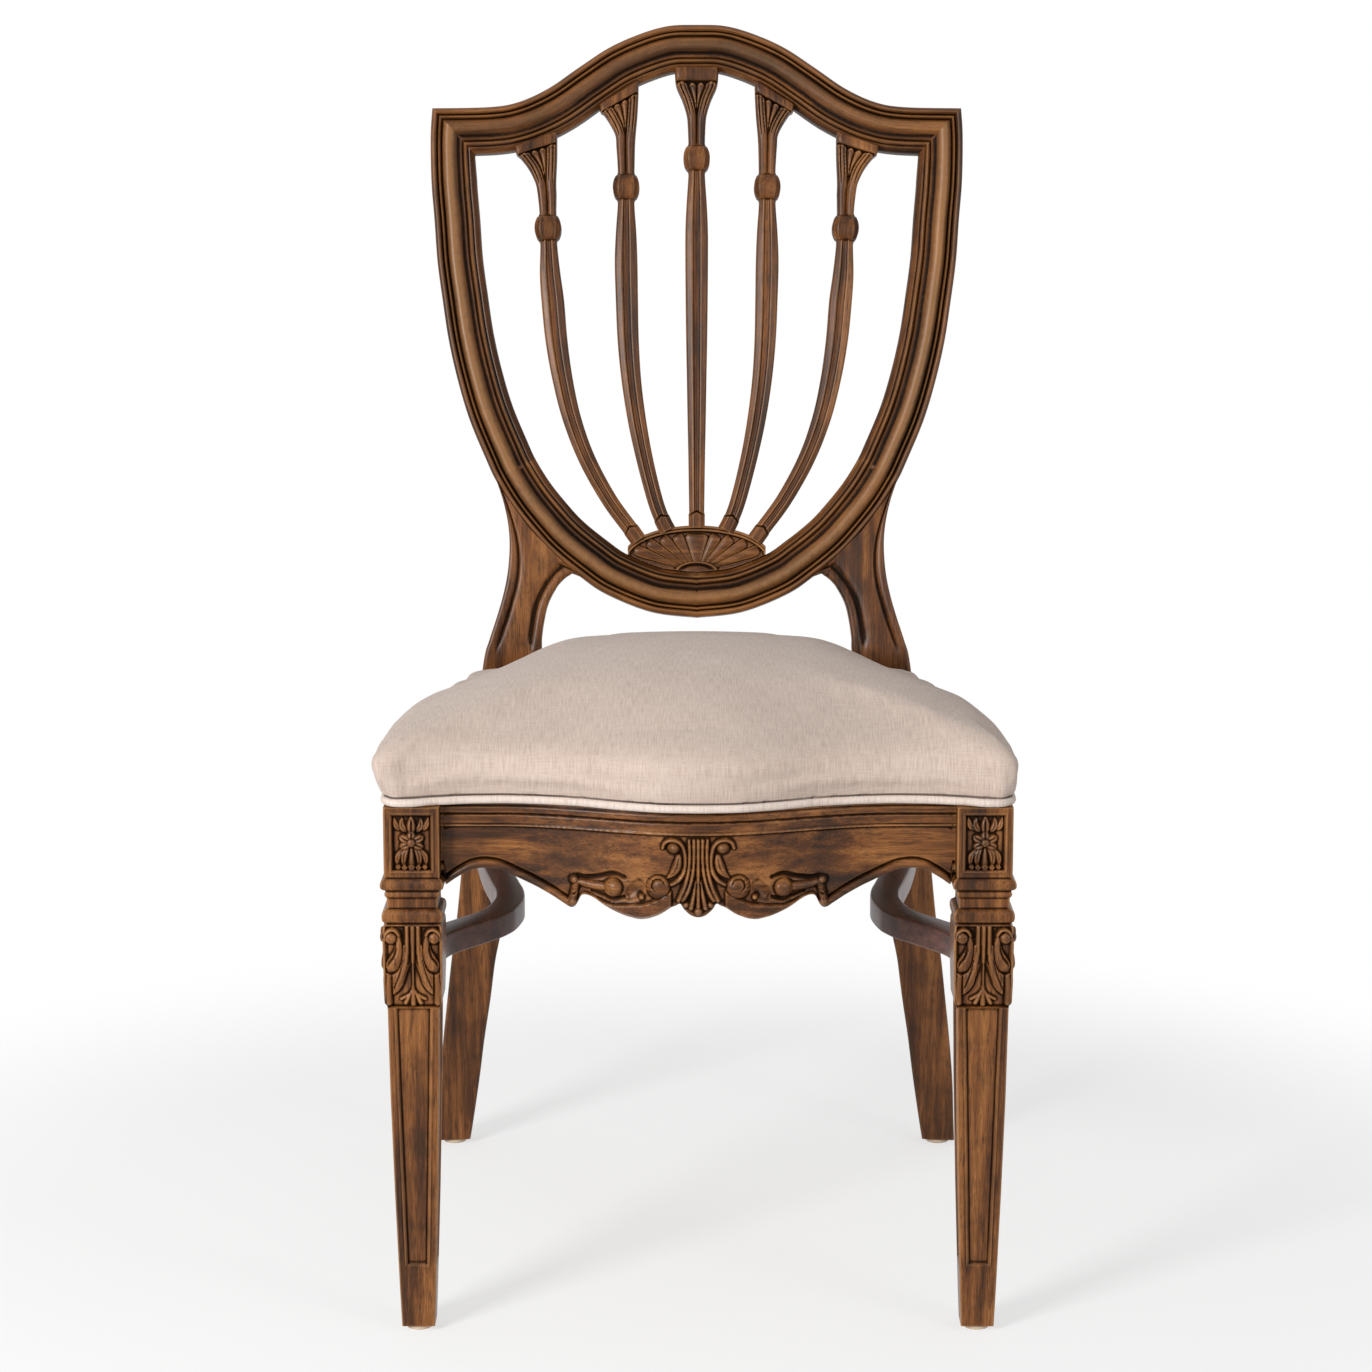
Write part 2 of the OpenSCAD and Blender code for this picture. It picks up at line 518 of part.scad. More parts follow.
module leg_profile() polygon(concat(leg_outline,
    [for (i = [len(leg_outline) - 1:-1:0]) flipped(leg_outline[i])]));
function leg_half(z) = lookup(z, [for (p = leg_outline) [p[1], p[0]]]);

// What is cut into or laid on one face of a front leg; the face looks to -Y
module leg_panel() intersection() {
    rotate([90, 0, 0]) linear_extrude(block_w) polygon([for (s = [-1, 1], p = s < 0
        ? panel_shares : [panel_shares[1], panel_shares[0]])
        [-s * p[0] * block_half, leg_z(p[1])]]);
    rotate([90, 0, 90]) linear_extrude(block_w, center = true)
        let (a = leg_z(panel_shares[0][1]), b = leg_z(panel_shares[1][1]))
        polygon([[-leg_half(a) + panel_sink, a], [-leg_half(b) + panel_sink, b],
            [-block_w, b], [-block_w, a]]);
}
rosette_w = block_w * 0.75;
rosette_h = 42 / 41 * block_w;
rosette_sink = block_w / 14;
block_mid = leg_z((1 + block_share) / 2);
petal_n = 8;
module rosette_recess() translate([0, -block_half, block_mid])
    cube([rosette_w, 2 * rosette_sink, rosette_h], center = true);
module rosette() translate([0, rosette_sink - block_half, block_mid]) rotate([90, 0, 0]) {
    translate([0, 0, -rosette_sink / 4])
        cylinder(h = rosette_sink / 2, d = rosette_w * 0.8, $fn = 48);
    for (i = [0:petal_n - 1]) rotate([0, 0, i * 360 / petal_n])
        translate([rosette_w / 4, 0, 0]) sphere(d = rosette_w / 5, $fn = 24);
    sphere(d = rosette_w / 4, $fn = 24);
}
volute_d = block_w * 0.27;
module leg_carving() let (zt = leg_z(capital_shares[1]), zb = leg_z(capital_shares[0]),
    y = -leg_half((zt + zb) / 2)) {
    for (s = [-1, 1]) translate([s * (block_half - volute_d / 2), y, zt - volute_d / 2 - glide_t / 4])
        rotate([90, 0, 0]) {
            cylinder(h = volute_d / 3, d = volute_d, center = true, $fn = 40);
            sphere(d = volute_d / 2, $fn = 24);
        }
    for (s = [-1:1]) translate([s * volute_d, y + volute_d / 6, (zt + zb) / 2 - volute_d / 3])
        cylinder(h = (zt - zb) * (s == 0 ? 0.8 : 0.6), d = volute_d / 2, center = true, $fn = 32);
}
module front_leg(flip) color(wood) placed() mirrored(flip) difference() {
    translate([leg_x, block_half, 0]) {
        difference() {
            intersection() {
                rotate([90, 0, 0]) linear_extrude(2 * block_w, center = true) leg_profile();
                rotate([90, 0, 90]) linear_extrude(2 * block_w, center = true) leg_profile();
            }
            for (a = [0, 90, -90]) rotate([0, 0, a]) leg_panel();
            for (a = [0, 90]) rotate([0, 0, a]) rosette_recess();
        }
        for (a = [0, 90]) rotate([0, 0, a]) {
            rosette();
            leg_carving();
        }
    }
    front_dowels(bore_gap);
    side_front_dowels(bore_gap);
    brace_front_dowel(bore_gap);
    glide_bore(front_foot());
}
module front_leg_left() front_leg(true);
module front_leg_right() front_leg(false);

// Front rail. Its face in plan, and its lower edge: shares of the half span and of the
// height down from the top
rail_half = leg_x - block_half - joint_gap;
function rail_y(x) = rail_setback
    - front_swell * (1 + cos(180 * min(1, abs(x) / swell_half))) / 2;
rail_edge_shares = [[0, 0.9925], [0.032, 0.978], [0.058, 0.938], [0.07, 0.873],
    [0.1, 0.873], [0.127, 0.9], [0.167, 0.943], [0.211, 0.981], [0.255, 1], [0.316, 0.975],
    [0.369, 0.913], [0.417, 0.845], [0.456, 0.844], [0.487, 0.938], [0.516, 0.906],
    [0.572, 0.831], [0.629, 0.75], [0.687, 0.681], [0.744, 0.628], [0.802, 0.611],
    [0.86, 0.62], [0.918, 0.675], [0.96, 0.735]];
arch_end_share = 0.78;
// The edge ends at the leg's collar and steps round it to the block
collar_x = leg_x - 1.15 * block_half - joint_gap;
arch_edge = concat([for (s = rail_edge_shares)
    [s[0] * rail_half, rail_top - s[1] * front_rail_h]],
    [[collar_x, rail_top - arch_end_share * front_rail_h]]);
rail_edge = concat(arch_edge, [[collar_x, leg_z(block_share) + joint_gap],
    [rail_half, leg_z(block_share) + joint_gap]]);
rail_steps = 40;
rail_bead = front_rail_h / 12;
rail_proud = front_rail_t / 16;
band_shares = [0.075, 0.21];
// The rail's plan between its face, moved forward by grow, and its back
module rail_plan(grow = 0, half = rail_half, back = front_rail_t) polygon(concat(
    [for (i = [-rail_steps:rail_steps]) let (x = half * i / rail_steps) [x, rail_y(x) - grow]],
    [for (i = [rail_steps:-1:-rail_steps]) let (x = half * i / rail_steps)
        [x, rail_y(x) + back]]));
function both(edge, lift = 0) = concat([for (i = [len(edge) - 1:-1:1])
    [-edge[i][0], edge[i][1] + lift]], [for (p = edge) [p[0], p[1] + lift]]);
module rail_slice(grow, back, low, high) intersection() {
    translate([0, 0, rail_top - 1.1 * front_rail_h]) linear_extrude(1.1 * front_rail_h)
        rail_plan(grow, rail_half, back);
    rotate([90, 0, 0]) linear_extrude(2 * seat_run, center = true)
        polygon(concat(low, [for (i = [len(high) - 1:-1:0]) high[i]]));
}
rail_root = front_rail_t / 4;
shell_half_share = 0.1;
shell_top_share = 0.26;
shell_ribs = 5;
// Scroll eyes: share of the half span, share of the height down, and size in rib widths
eye_shares = [[0.1, 0.34, 0.55], [0.34, 0.725, 0.75], [0.185, 0.715, 0.6],
    [0.47, 0.86, 0.5]];
module rail_carving() {
    y0 = rail_y(0);
    shell_half = shell_half_share * rail_half;
    shell_z = rail_top - front_rail_h * rail_edge_shares[0][1];
    shell_h = front_rail_h * (rail_edge_shares[0][1] - shell_top_share);
    rib_d = shell_half / 2;
    // Ribs of the middle shell, fanned from its foot
    for (i = [0:shell_ribs - 1]) let (a = (i - (shell_ribs - 1) / 2) * 7)
        translate([0, y0 + rib_d / 6, shell_z + rib_d / 2]) rotate([0, a, 0])
            cylinder(h = shell_h * (1 - abs(a) / 90) - rib_d, d1 = rib_d * 0.6, d2 = rib_d * 1.1,
                $fn = 24);
    for (s = [-1, 1]) {
        // Scroll eyes beside the shell, over the lobes and at the lobes' outer ends
        for (e = eye_shares) let (x = s * e[0] * rail_half)
            translate([x, rail_y(x), rail_top - e[1] * front_rail_h])
                sphere(d = e[2] * 2 * rib_d, $fn = 24);
    }
}
module front_rail() color(wood) placed() difference() {
    union() {
        rail_slice(0, front_rail_t, both(rail_edge), [[-rail_half, rail_top], [rail_half, rail_top]]);
        rail_slice(rail_proud, rail_root, both(arch_edge), both(arch_edge, rail_bead));
        rail_slice(rail_proud, rail_root,
            [for (s = [-1, 1]) [s * rail_half, rail_top - band_shares[1] * front_rail_h]],
            [for (s = [-1, 1]) [s * rail_half, rail_top - band_shares[0] * front_rail_h]]);
        rail_carving();
    }
    for (s = [false, true]) mirrored(s) {
        front_dowels(bore_gap);
        block_screw_front(true);
    }
}

// Side and back rails, in plan between the legs
side_rail_rear_share = 0.56;
side_rail_rear_x = let (z = rail_top - rail_h / 2) lerp(rear_in_x(z), rear_out_x(z),
    side_rail_rear_share);
side_front_x = leg_x + block_half - side_rail_inset - rail_t / 2;
side_front_y = block_w + joint_gap;
side_rear_y = back_y(side_rail_rear_x, rail_top);
cut_steps = 6;
function side_x(y) = lerp(side_front_x, side_rail_rear_x,
    (y - side_front_y) / (side_rear_y - side_front_y));
// Trims whatever lies inside it to the rear legs' front faces, measured at X = x
module before_rear_leg(x, y0, z0, z1) rotate([90, 0, 90])
    linear_extrude(2 * seat_run, center = true) polygon(concat([[y0, z1], [y0, z0]],
        [for (i = [0:cut_steps]) let (z = lerp(z0, z1, i / cut_steps))
            [back_y(x, z) - joint_gap, z]]));
module side_rail(flip) color(wood) placed() mirrored(flip) difference() {
    intersection() {
        translate([0, 0, rail_low]) linear_extrude(rail_h) polygon([for (c = [[0, -1], [0, 1],
            [1.1, 1], [1.1, -1]]) let (y = lerp(side_front_y, side_rear_y, c[0]))
            [side_x(y) + c[1] * rail_t / 2, y]]);
        before_rear_leg(side_rail_rear_x + rail_t / 2, side_front_y, rail_low, rail_top);
    }
    side_front_dowels(bore_gap);
    side_rear_dowels(bore_gap);
    block_screw_side(true, true);
    block_screw_side(false, true);
}
module side_rail_left() side_rail(true);
module side_rail_right() side_rail(false);

back_rail_y = back_y(rear_in_x(rail_low), rail_top - rail_h / 2) + rear_leg_t / 10;
module back_rail() color(wood) placed() difference() {
    translate([0, back_rail_y + rail_t, 0]) rotate([90, 0, 0]) linear_extrude(rail_t)
        polygon(concat([for (i = [0:cut_steps]) let (z = lerp(rail_low, rail_top, i / cut_steps))
            [rear_in_x(z) - joint_gap, z]],
            [for (i = [cut_steps:-1:0]) let (z = lerp(rail_low, rail_top, i / cut_steps))
                [joint_gap - rear_in_x(z), z]]));
    for (s = [false, true]) mirrored(s) {
        back_dowels(bore_gap);
        block_screw_back(true);
    }
}

// Rail dowels, two at each joint
function dowel_z(i) = rail_top - (i == 0 ? 0.26 : 0.74) * rail_h;
module along_x(l, d) rotate([0, 90, 0]) pin(l, d);
module along_y(l, d) rotate([90, 0, 0]) pin(l, d);
module front_dowels(clear = 0) for (i = [0, 1])
    translate([rail_half, rail_setback + front_rail_t / 2, dowel_z(i)])
        along_x(2 * (dowel_bite + clear), dowel_d + clear);
module side_front_dowels(clear = 0) for (i = [0, 1])
    translate([side_front_x, block_w, dowel_z(i)])
        along_y(2 * (dowel_bite + clear), dowel_d + clear);
module side_rear_dowels(clear = 0) for (i = [0, 1])
    translate([side_rail_rear_x, back_y(side_rail_rear_x, dowel_z(i)), dowel_z(i)])
        along_y(2 * (dowel_bite + clear), dowel_d + clear);
module back_dowels(clear = 0) for (i = [0, 1])
    translate([rear_in_x(dowel_z(i)), back_rail_y + rail_t / 2, dowel_z(i)])
        along_x(2 * (dowel_bite + clear), dowel_d + clear);
module rail_dowels() color(inner_wood) placed() for (s = [false, true]) mirrored(s) {
    front_dowels();
    side_front_dowels();
    side_rear_dowels();
    back_dowels();
}

// Braces: bowed in plan. Rows: share of the run and share of the bow
brace_shares = [[0, 0], [0.035, 0.07], [0.071, 0.22], [0.115, 0.45], [0.167, 0.73],
    [0.205, 0.87], [0.243, 0.95], [0.32, 1], [0.395, 0.93], [0.47, 0.78], [0.57, 0.58],
    [0.669, 0.41], [0.76, 0.27], [0.85, 0.15], [0.93, 0.06], [1, 0]];
brace_mid = brace_z + brace_h / 2;
brace_rear_share = 0.27;
brace_rear_x = lerp(rear_in_x(brace_mid), rear_out_x(brace_mid), brace_rear_share);
brace_front_x = leg_x - leg_half(brace_mid);
brace_front_y = block_half + max(leg_half(brace_z), leg_half(brace_z + brace_h)) + joint_gap;
brace_rear_y = back_y(brace_rear_x + brace_t, brace_z);
brace_in = smooth([for (s = brace_shares) [lerp(brace_front_x, brace_rear_x, s[0])
    - s[1] * brace_bow, lerp(brace_front_y, brace_rear_y, s[0])]], 2);
brace_out = [for (i = [0:len(brace_in) - 1]) brace_in[i] + brace_t
    * (i == 0 || i == len(brace_in) - 1 ? [1, 0] : inward(brace_in, i))];
module brace(flip) color(dark_wood) placed() mirrored(flip) difference() {
    intersection() {
        translate([0, 0, brace_z]) linear_extrude(brace_h) polygon(concat(brace_in,
            [for (i = [len(brace_in) - 1:-1:0]) brace_out[i]]));
        before_rear_leg(brace_rear_x + brace_t, brace_front_y, brace_z, brace_z + brace_h);
    }
    brace_front_dowel(bore_gap);
    brace_rear_dowel(bore_gap);
}
module brace_left() brace(true);
module brace_right() brace(false);
module brace_front_dowel(clear = 0) translate([brace_front_x + brace_t / 2, brace_front_y,
    brace_mid]) along_y(2 * (shield_bite + clear), dowel_d + clear);
module brace_rear_dowel(clear = 0) translate([brace_rear_x + brace_t / 2,
    back_y(brace_rear_x, brace_mid), brace_mid]) along_y(2 * (shield_bite + clear), dowel_d + clear);
module brace_dowels() color(inner_wood) placed() for (s = [false, true]) mirrored(s) {
    brace_front_dowel();
    brace_rear_dowel();
}

// Corner blocks, and the screws through them into the rails and up into the seat
block_gap = joint_gap;
front_block_y = rail_setback + front_rail_t + joint_gap;
rear_block_y = back_y(side_rail_rear_x + rail_t / 2, rail_top) - joint_gap;
rear_block_x = rear_in_x(rail_top) - joint_gap;
function side_face(y) = side_x(y) - rail_t / 2 - block_gap;
front_block = [[side_face(front_block_y), front_block_y],
    [side_face(front_block_y + corner_block_l), front_block_y + corner_block_l],
    [side_face(front_block_y) - corner_block_l, front_block_y]];
rear_block = [[side_face(rear_block_y), rear_block_y], [rear_block_x, rear_block_y],
    [rear_block_x, back_rail_y - joint_gap],
    [rear_block_x - corner_block_l / 2, back_rail_y - joint_gap],
    [side_face(rear_block_y - corner_block_l), rear_block_y - corner_block_l]];
screw_d = 4;
screw_head_d = 2 * screw_d;
screw_head_h = screw_d * 0.7;
screw_l = 34;
screw_reach = 0.55;
screw_z = rail_top - rail_h / 2;
seat_screw_l = corner_block_h + 0.7 * board_t;
// A countersunk screw along +Z from its head's face; as a bore it is a little wider
module screw(bore, l = screw_l) let (g = bore ? bore_gap : 0) {
    translate([0, 0, bore ? -overrun : 0]) cylinder(h = l + g + (bore ? overrun : 0),
        d = screw_d + g, $fn = 28);
    cylinder(h = screw_head_h + g / 2, d1 = screw_head_d + g, d2 = screw_d + g, $fn = 28);
    if (bore) translate([0, 0, -overrun]) cylinder(h = overrun, d = screw_head_d + g, $fn = 28);
}
// Each screw starts in the block's slanted face
module block_screw_front(bore) let (x = side_face(front_block_y) - screw_reach * corner_block_l,
    y = front_block_y + (1 - screw_reach) * corner_block_l)
    translate([x, y - screw_head_h / 4, screw_z]) rotate([90, 0, 0]) screw(bore);
module block_screw_side(front, bore) let (y = front
    ? front_block_y + 0.62 * corner_block_l : rear_block_y - 0.58 * corner_block_l,
    x = side_face(y) - 0.3 * corner_block_l)
    translate([x, y, screw_z]) rotate([0, 90, 0]) screw(bore);
module block_screw_back(bore) let (x = rear_block_x - corner_block_l / 4)
    translate([x, back_rail_y - 0.28 * corner_block_l, screw_z]) rotate([-90, 0, 0]) screw(bore);
module block_screws() color(steel) placed() for (s = [false, true]) mirrored(s) {
    block_screw_front(false);
    block_screw_side(true, false);
    block_screw_side(false, false);
    block_screw_back(false);
}
function front_seat_screw() = [side_face(front_block_y) - 0.22 * corner_block_l,
    front_block_y + 0.22 * corner_block_l];
function rear_seat_screw() = [rear_block_x + screw_d, rear_block_y - 0.2 * corner_block_l];
module seat_screw_at(p, bore) translate([p[0], p[1], rail_top - corner_block_h])
    screw(bore, seat_screw_l);
module seat_screws() color(steel) placed() for (s = [false, true],
    p = [front_seat_screw(), rear_seat_screw()]) mirrored(s) seat_screw_at(p, false);
module corner_block(outline, p, flip) color(inner_wood) placed() mirrored(flip) difference() {
    translate([0, 0, rail_top - corner_block_h]) linear_extrude(corner_block_h) polygon(outline);
    block_screw_front(true);
    block_screw_side(true, true);
    block_screw_side(false, true);
    block_screw_back(true);
    seat_screw_at(p, true);
}
module corner_block_front_left() corner_block(front_block, front_seat_screw(), true);
module corner_block_front_right() corner_block(front_block, front_seat_screw(), false);
module corner_block_rear_left() corner_block(rear_block, rear_seat_screw(), true);
module corner_block_rear_right() corner_block(rear_block, rear_seat_screw(), false);

// Seat in plan at its widest. Front: shares of the half width and of the seat's run
front_plan_shares = [[0, seat_nose_share], [0.123, -0.071], [0.246, -0.045], [0.37, -0.01],
    [0.493, 0.01], [0.616, 0.02], [0.739, 0.015], [0.842, 0], [0.924, -0.02],
    [0.977, -0.02], [0.998, 0], [1, 0.05], [1, 0.15]];
// Sides: shares of the way in to the rear corner and of the seat's run
side_plan_shares = [[0.068, 0.3], [0.217, 0.45], [0.386, 0.6], [0.575, 0.75], [0.783, 0.9],
    [0.923, 0.975], [1, 1]];
// Round the post: shares of its width, out from its inner edge, and of the seat's run
rear_corner_share = 1.165;
notch_plan_shares = [[1.011, 1.0075], [0.0155, 1.0075], [-0.098, 1.0175], [-0.117, 1.095],
    [-0.232, 1.1125]];
// Between the posts: shares of the way out to them and of the seat's run
rear_plan_shares = [[0.453, 1.115], [0, 1.115]];
piped_points = 18;
// Its side, then its crown: share of the plan, and share of the shoulder's height or of
// the crown's rise above it
seat_side_shares = [[0.935, 0], [0.937, 0.2], [0.972, 0.4], [0.996, 0.62], [1, 0.8], [0.985, 1]];
seat_crown_shares = [[0.945, 0.15], [0.86, 0.32], [0.71, 0.56], [0.5, 0.8], [0.25, 0.955],
    [0.02, 1]];
seat_base = rail_top + joint_gap;
seat_mid = seat_run / 2;
seat_levels = concat([for (s = seat_side_shares) [s[0], s[1] * shoulder_h]],
    [for (s = seat_crown_shares) [s[0], shoulder_h + s[1] * (seat_h - shoulder_h)]]);
post_in = rear_in_x(knee_z);
post_out_x = rear_out_x(knee_z);
rear_corner_x = lerp(post_in, post_out_x, rear_corner_share);
function seat_row(x, s) = [x, s[1] * seat_run - seat_mid];
seat_half_plan = concat([for (s = front_plan_shares) seat_row(s[0] * seat_half, s)],
    [for (s = side_plan_shares) seat_row(lerp(seat_half, rear_corner_x, s[0]), s)],
    [for (s = notch_plan_shares) seat_row(lerp(post_in, post_out_x, s[0]), s)],
    [for (s = rear_plan_shares) seat_row(s[0] * post_in, s)]);
seat_plan = concat(seat_half_plan, [for (i = [len(seat_half_plan) - 2:-1:1])
    flipped(seat_half_plan[i])]);
function shrunk(p, s, inset) = p * s * (1 - inset / norm(p));
function crown_drop(h, inset) = inset * min(1, max(0, 2 * (h / seat_h - 0.2)));
// Over the crown the plan eases from its cornered outline into an oval
oval_shares = [0.97, 0.53];
function ease(level) = level[1] <= shoulder_h ? 0
    : pow(min(1, max(0, (0.97 - level[0]) / 0.6)), 1.2);
function oval(p) = let (a = atan2(p[1] / (oval_shares[1] * seat_run), p[0] / (oval_shares[0]
    * seat_half))) [oval_shares[0] * seat_half * cos(a), oval_shares[1] * seat_run * sin(a)];
function seat_ring(level, inset) = [for (p = seat_plan)
    let (q = shrunk(lerp(p, oval(p), ease(level)), level[0], inset * min(1, level[0] * 4)))
    [q[0], q[1] + seat_mid, seat_base + level[1] - crown_drop(level[1], inset)]];
function board_outline() = [for (p = seat_plan)
    shrunk(p, seat_levels[0][0], cover_t + soft_gap) + [0, seat_mid]];

module seat_board() color(inner_wood) placed() difference() {
    translate([0, 0, seat_base]) linear_extrude(board_t) polygon(board_outline());
    for (s = [false, true], p = [front_seat_screw(), rear_seat_screw()])
        mirrored(s) seat_screw_at(p, true);
}
foam_low = board_t + soft_gap;
module seat_foam() color(linen) placed() skin(concat(
    [seat_ring([lookup(foam_low, [for (l = seat_levels) [l[1], l[0]]]), foam_low],
        cover_t + soft_gap)],
    [for (l = seat_levels) if (l[1] > foam_low + soft_gap) seat_ring(l, cover_t + soft_gap)]));
cover_levels = concat([[seat_levels[0][0], soft_gap]],
    [for (i = [1:len(seat_levels) - 1]) seat_levels[i]]);
module seat_cover() color(linen) placed() skin(concat(
    [for (i = [len(cover_levels) - 1:-1:0]) seat_ring(cover_levels[i], 0)],
    [for (l = cover_levels) seat_ring(l, cover_t)]));

// Piping round the foot of the cover, from post to post across the front
piping_sides = 8;
piping_path = let (half = [for (i = [0:piped_points])
    shrunk(seat_half_plan[i], seat_levels[0][0], 0) + [0, seat_mid]])
    concat([for (i = [piped_points:-1:1]) flipped(half[i])], half);
module seat_piping() color(linen) placed() skin([for (i = [0:len(piping_path) - 1])
    let (t = tangent(piping_path, i), n = [t[1], -t[0]],
        c = piping_path[i] + (piping_d / 2 + 2 * soft_gap) * n)
    [for (j = [0:piping_sides - 1]) let (a = 360 * j / piping_sides, q = c + piping_d / 2 * cos(a) * n)
        [q[0], q[1], seat_base + piping_d / 2 + piping_d / 2 * sin(a)]]]);

crest_rail();
shield_stile_left();
shield_stile_right();
shield_base_rail();
splat_centre();
splat_inner_left();
splat_inner_right();
splat_outer_left();
splat_outer_right();
fan_block();
rear_leg_left();
rear_leg_right();
front_leg_left();
front_leg_right();
front_rail();
side_rail_left();
side_rail_right();
back_rail();
brace_left();
brace_right();
corner_block_front_left();
corner_block_front_right();
corner_block_rear_left();
corner_block_rear_right();
shield_dowels();
rail_dowels();
brace_dowels();
block_screws();
seat_screws();
seat_board();
seat_foam();
seat_cover();
seat_piping();
foot_glides();
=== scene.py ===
"""Carved shield-back dining chair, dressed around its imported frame.

All the builders work in millimetres in the chair's drawing space: X to the right of someone
who faces the chair, Y = 0 at the front legs' front faces and growing to the rear, Z = 0 on
the floor. Mesh data is turned into metres of the frame on the way into Blender.
"""

import logging
import math
from contextlib import contextmanager
from dataclasses import dataclass
from enum import Enum
from typing import Iterator, Optional, Sequence, Union

import bmesh
import bpy
import numpy as np
from mathutils import Matrix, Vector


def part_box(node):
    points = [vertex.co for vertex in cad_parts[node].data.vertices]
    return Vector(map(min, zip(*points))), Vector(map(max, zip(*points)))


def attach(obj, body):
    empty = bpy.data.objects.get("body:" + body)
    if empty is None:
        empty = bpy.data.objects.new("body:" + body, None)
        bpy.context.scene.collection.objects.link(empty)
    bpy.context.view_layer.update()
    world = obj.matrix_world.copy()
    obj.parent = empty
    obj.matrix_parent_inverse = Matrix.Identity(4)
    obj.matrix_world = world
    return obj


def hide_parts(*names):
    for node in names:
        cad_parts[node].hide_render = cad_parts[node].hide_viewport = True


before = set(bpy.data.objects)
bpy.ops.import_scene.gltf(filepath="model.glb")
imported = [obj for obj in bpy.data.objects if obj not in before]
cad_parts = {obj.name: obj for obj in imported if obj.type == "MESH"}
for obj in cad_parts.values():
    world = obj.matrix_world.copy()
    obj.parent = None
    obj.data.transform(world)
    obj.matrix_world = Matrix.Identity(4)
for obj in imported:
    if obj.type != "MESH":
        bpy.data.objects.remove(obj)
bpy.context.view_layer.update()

log = logging.getLogger("chair")
Array = np.ndarray
MM = 0.001
GLIDE_RADIUS = 10.0
FRONT_FOOT_Y = 20.5
# Where Y = 0 of the drawing space lies in the frame: the front glides fix it
SET_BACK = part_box("foot_glides")[0][1] / MM + GLIDE_RADIUS - FRONT_FOOT_Y


class Side(Enum):
    """The two mirrored halves of the chair."""

    LEFT = -1
    RIGHT = 1

    @property
    def word(self) -> str:
        """The word that ends the names of this side's pieces."""
        return self.name.lower()


class Source(Enum):
    """Where a finish takes the place of its pattern from."""

    GRAIN = "grain"
    ALONG_X = "x"
    ALONG_Y = "y"
    ALONG_Z = "z"


Number = Union[int, float]


class Term:
    """A node's output that can be used in arithmetic; each operation adds a Math node."""

    def __init__(self, graph: "Graph", socket: bpy.types.NodeSocket) -> None:
        """Wraps a socket of a node in graph."""
        self.graph = graph
        self.socket = socket

    def math(self, operation: str, *others: Union["Term", Number], first: int = 0) -> "Term":
        """One Math node on this term.

        Args:
            operation: The Math node's operation.
            others: The other operands, in order.
            first: The input that this term goes to.

        Returns:
            The node's result.
        """
        values = list(others)
        values.insert(first, self)
        node = self.graph.add("ShaderNodeMath", {"operation": operation}, dict(enumerate(values)))
        return Term(self.graph, node.outputs[0])

    def __add__(self, other: Union["Term", Number]) -> "Term":
        """Sum."""
        return self.math("ADD", other)

    def __mul__(self, other: Union["Term", Number]) -> "Term":
        """Product."""
        return self.math("MULTIPLY", other)

    def __sub__(self, other: Union["Term", Number]) -> "Term":
        """Difference."""
        return self.math("SUBTRACT", other)

    def __rsub__(self, other: Number) -> "Term":
        """Difference from a number."""
        return self.math("SUBTRACT", other, first=1)

    def __truediv__(self, other: Union["Term", Number]) -> "Term":
        """Quotient."""
        return self.math("DIVIDE", other)

    __radd__ = __add__
    __rmul__ = __mul__

    def clamp(self) -> "Term":
        """This term held between 0 and 1."""
        return self.math("MAXIMUM", 0.0).math("MINIMUM", 1.0)


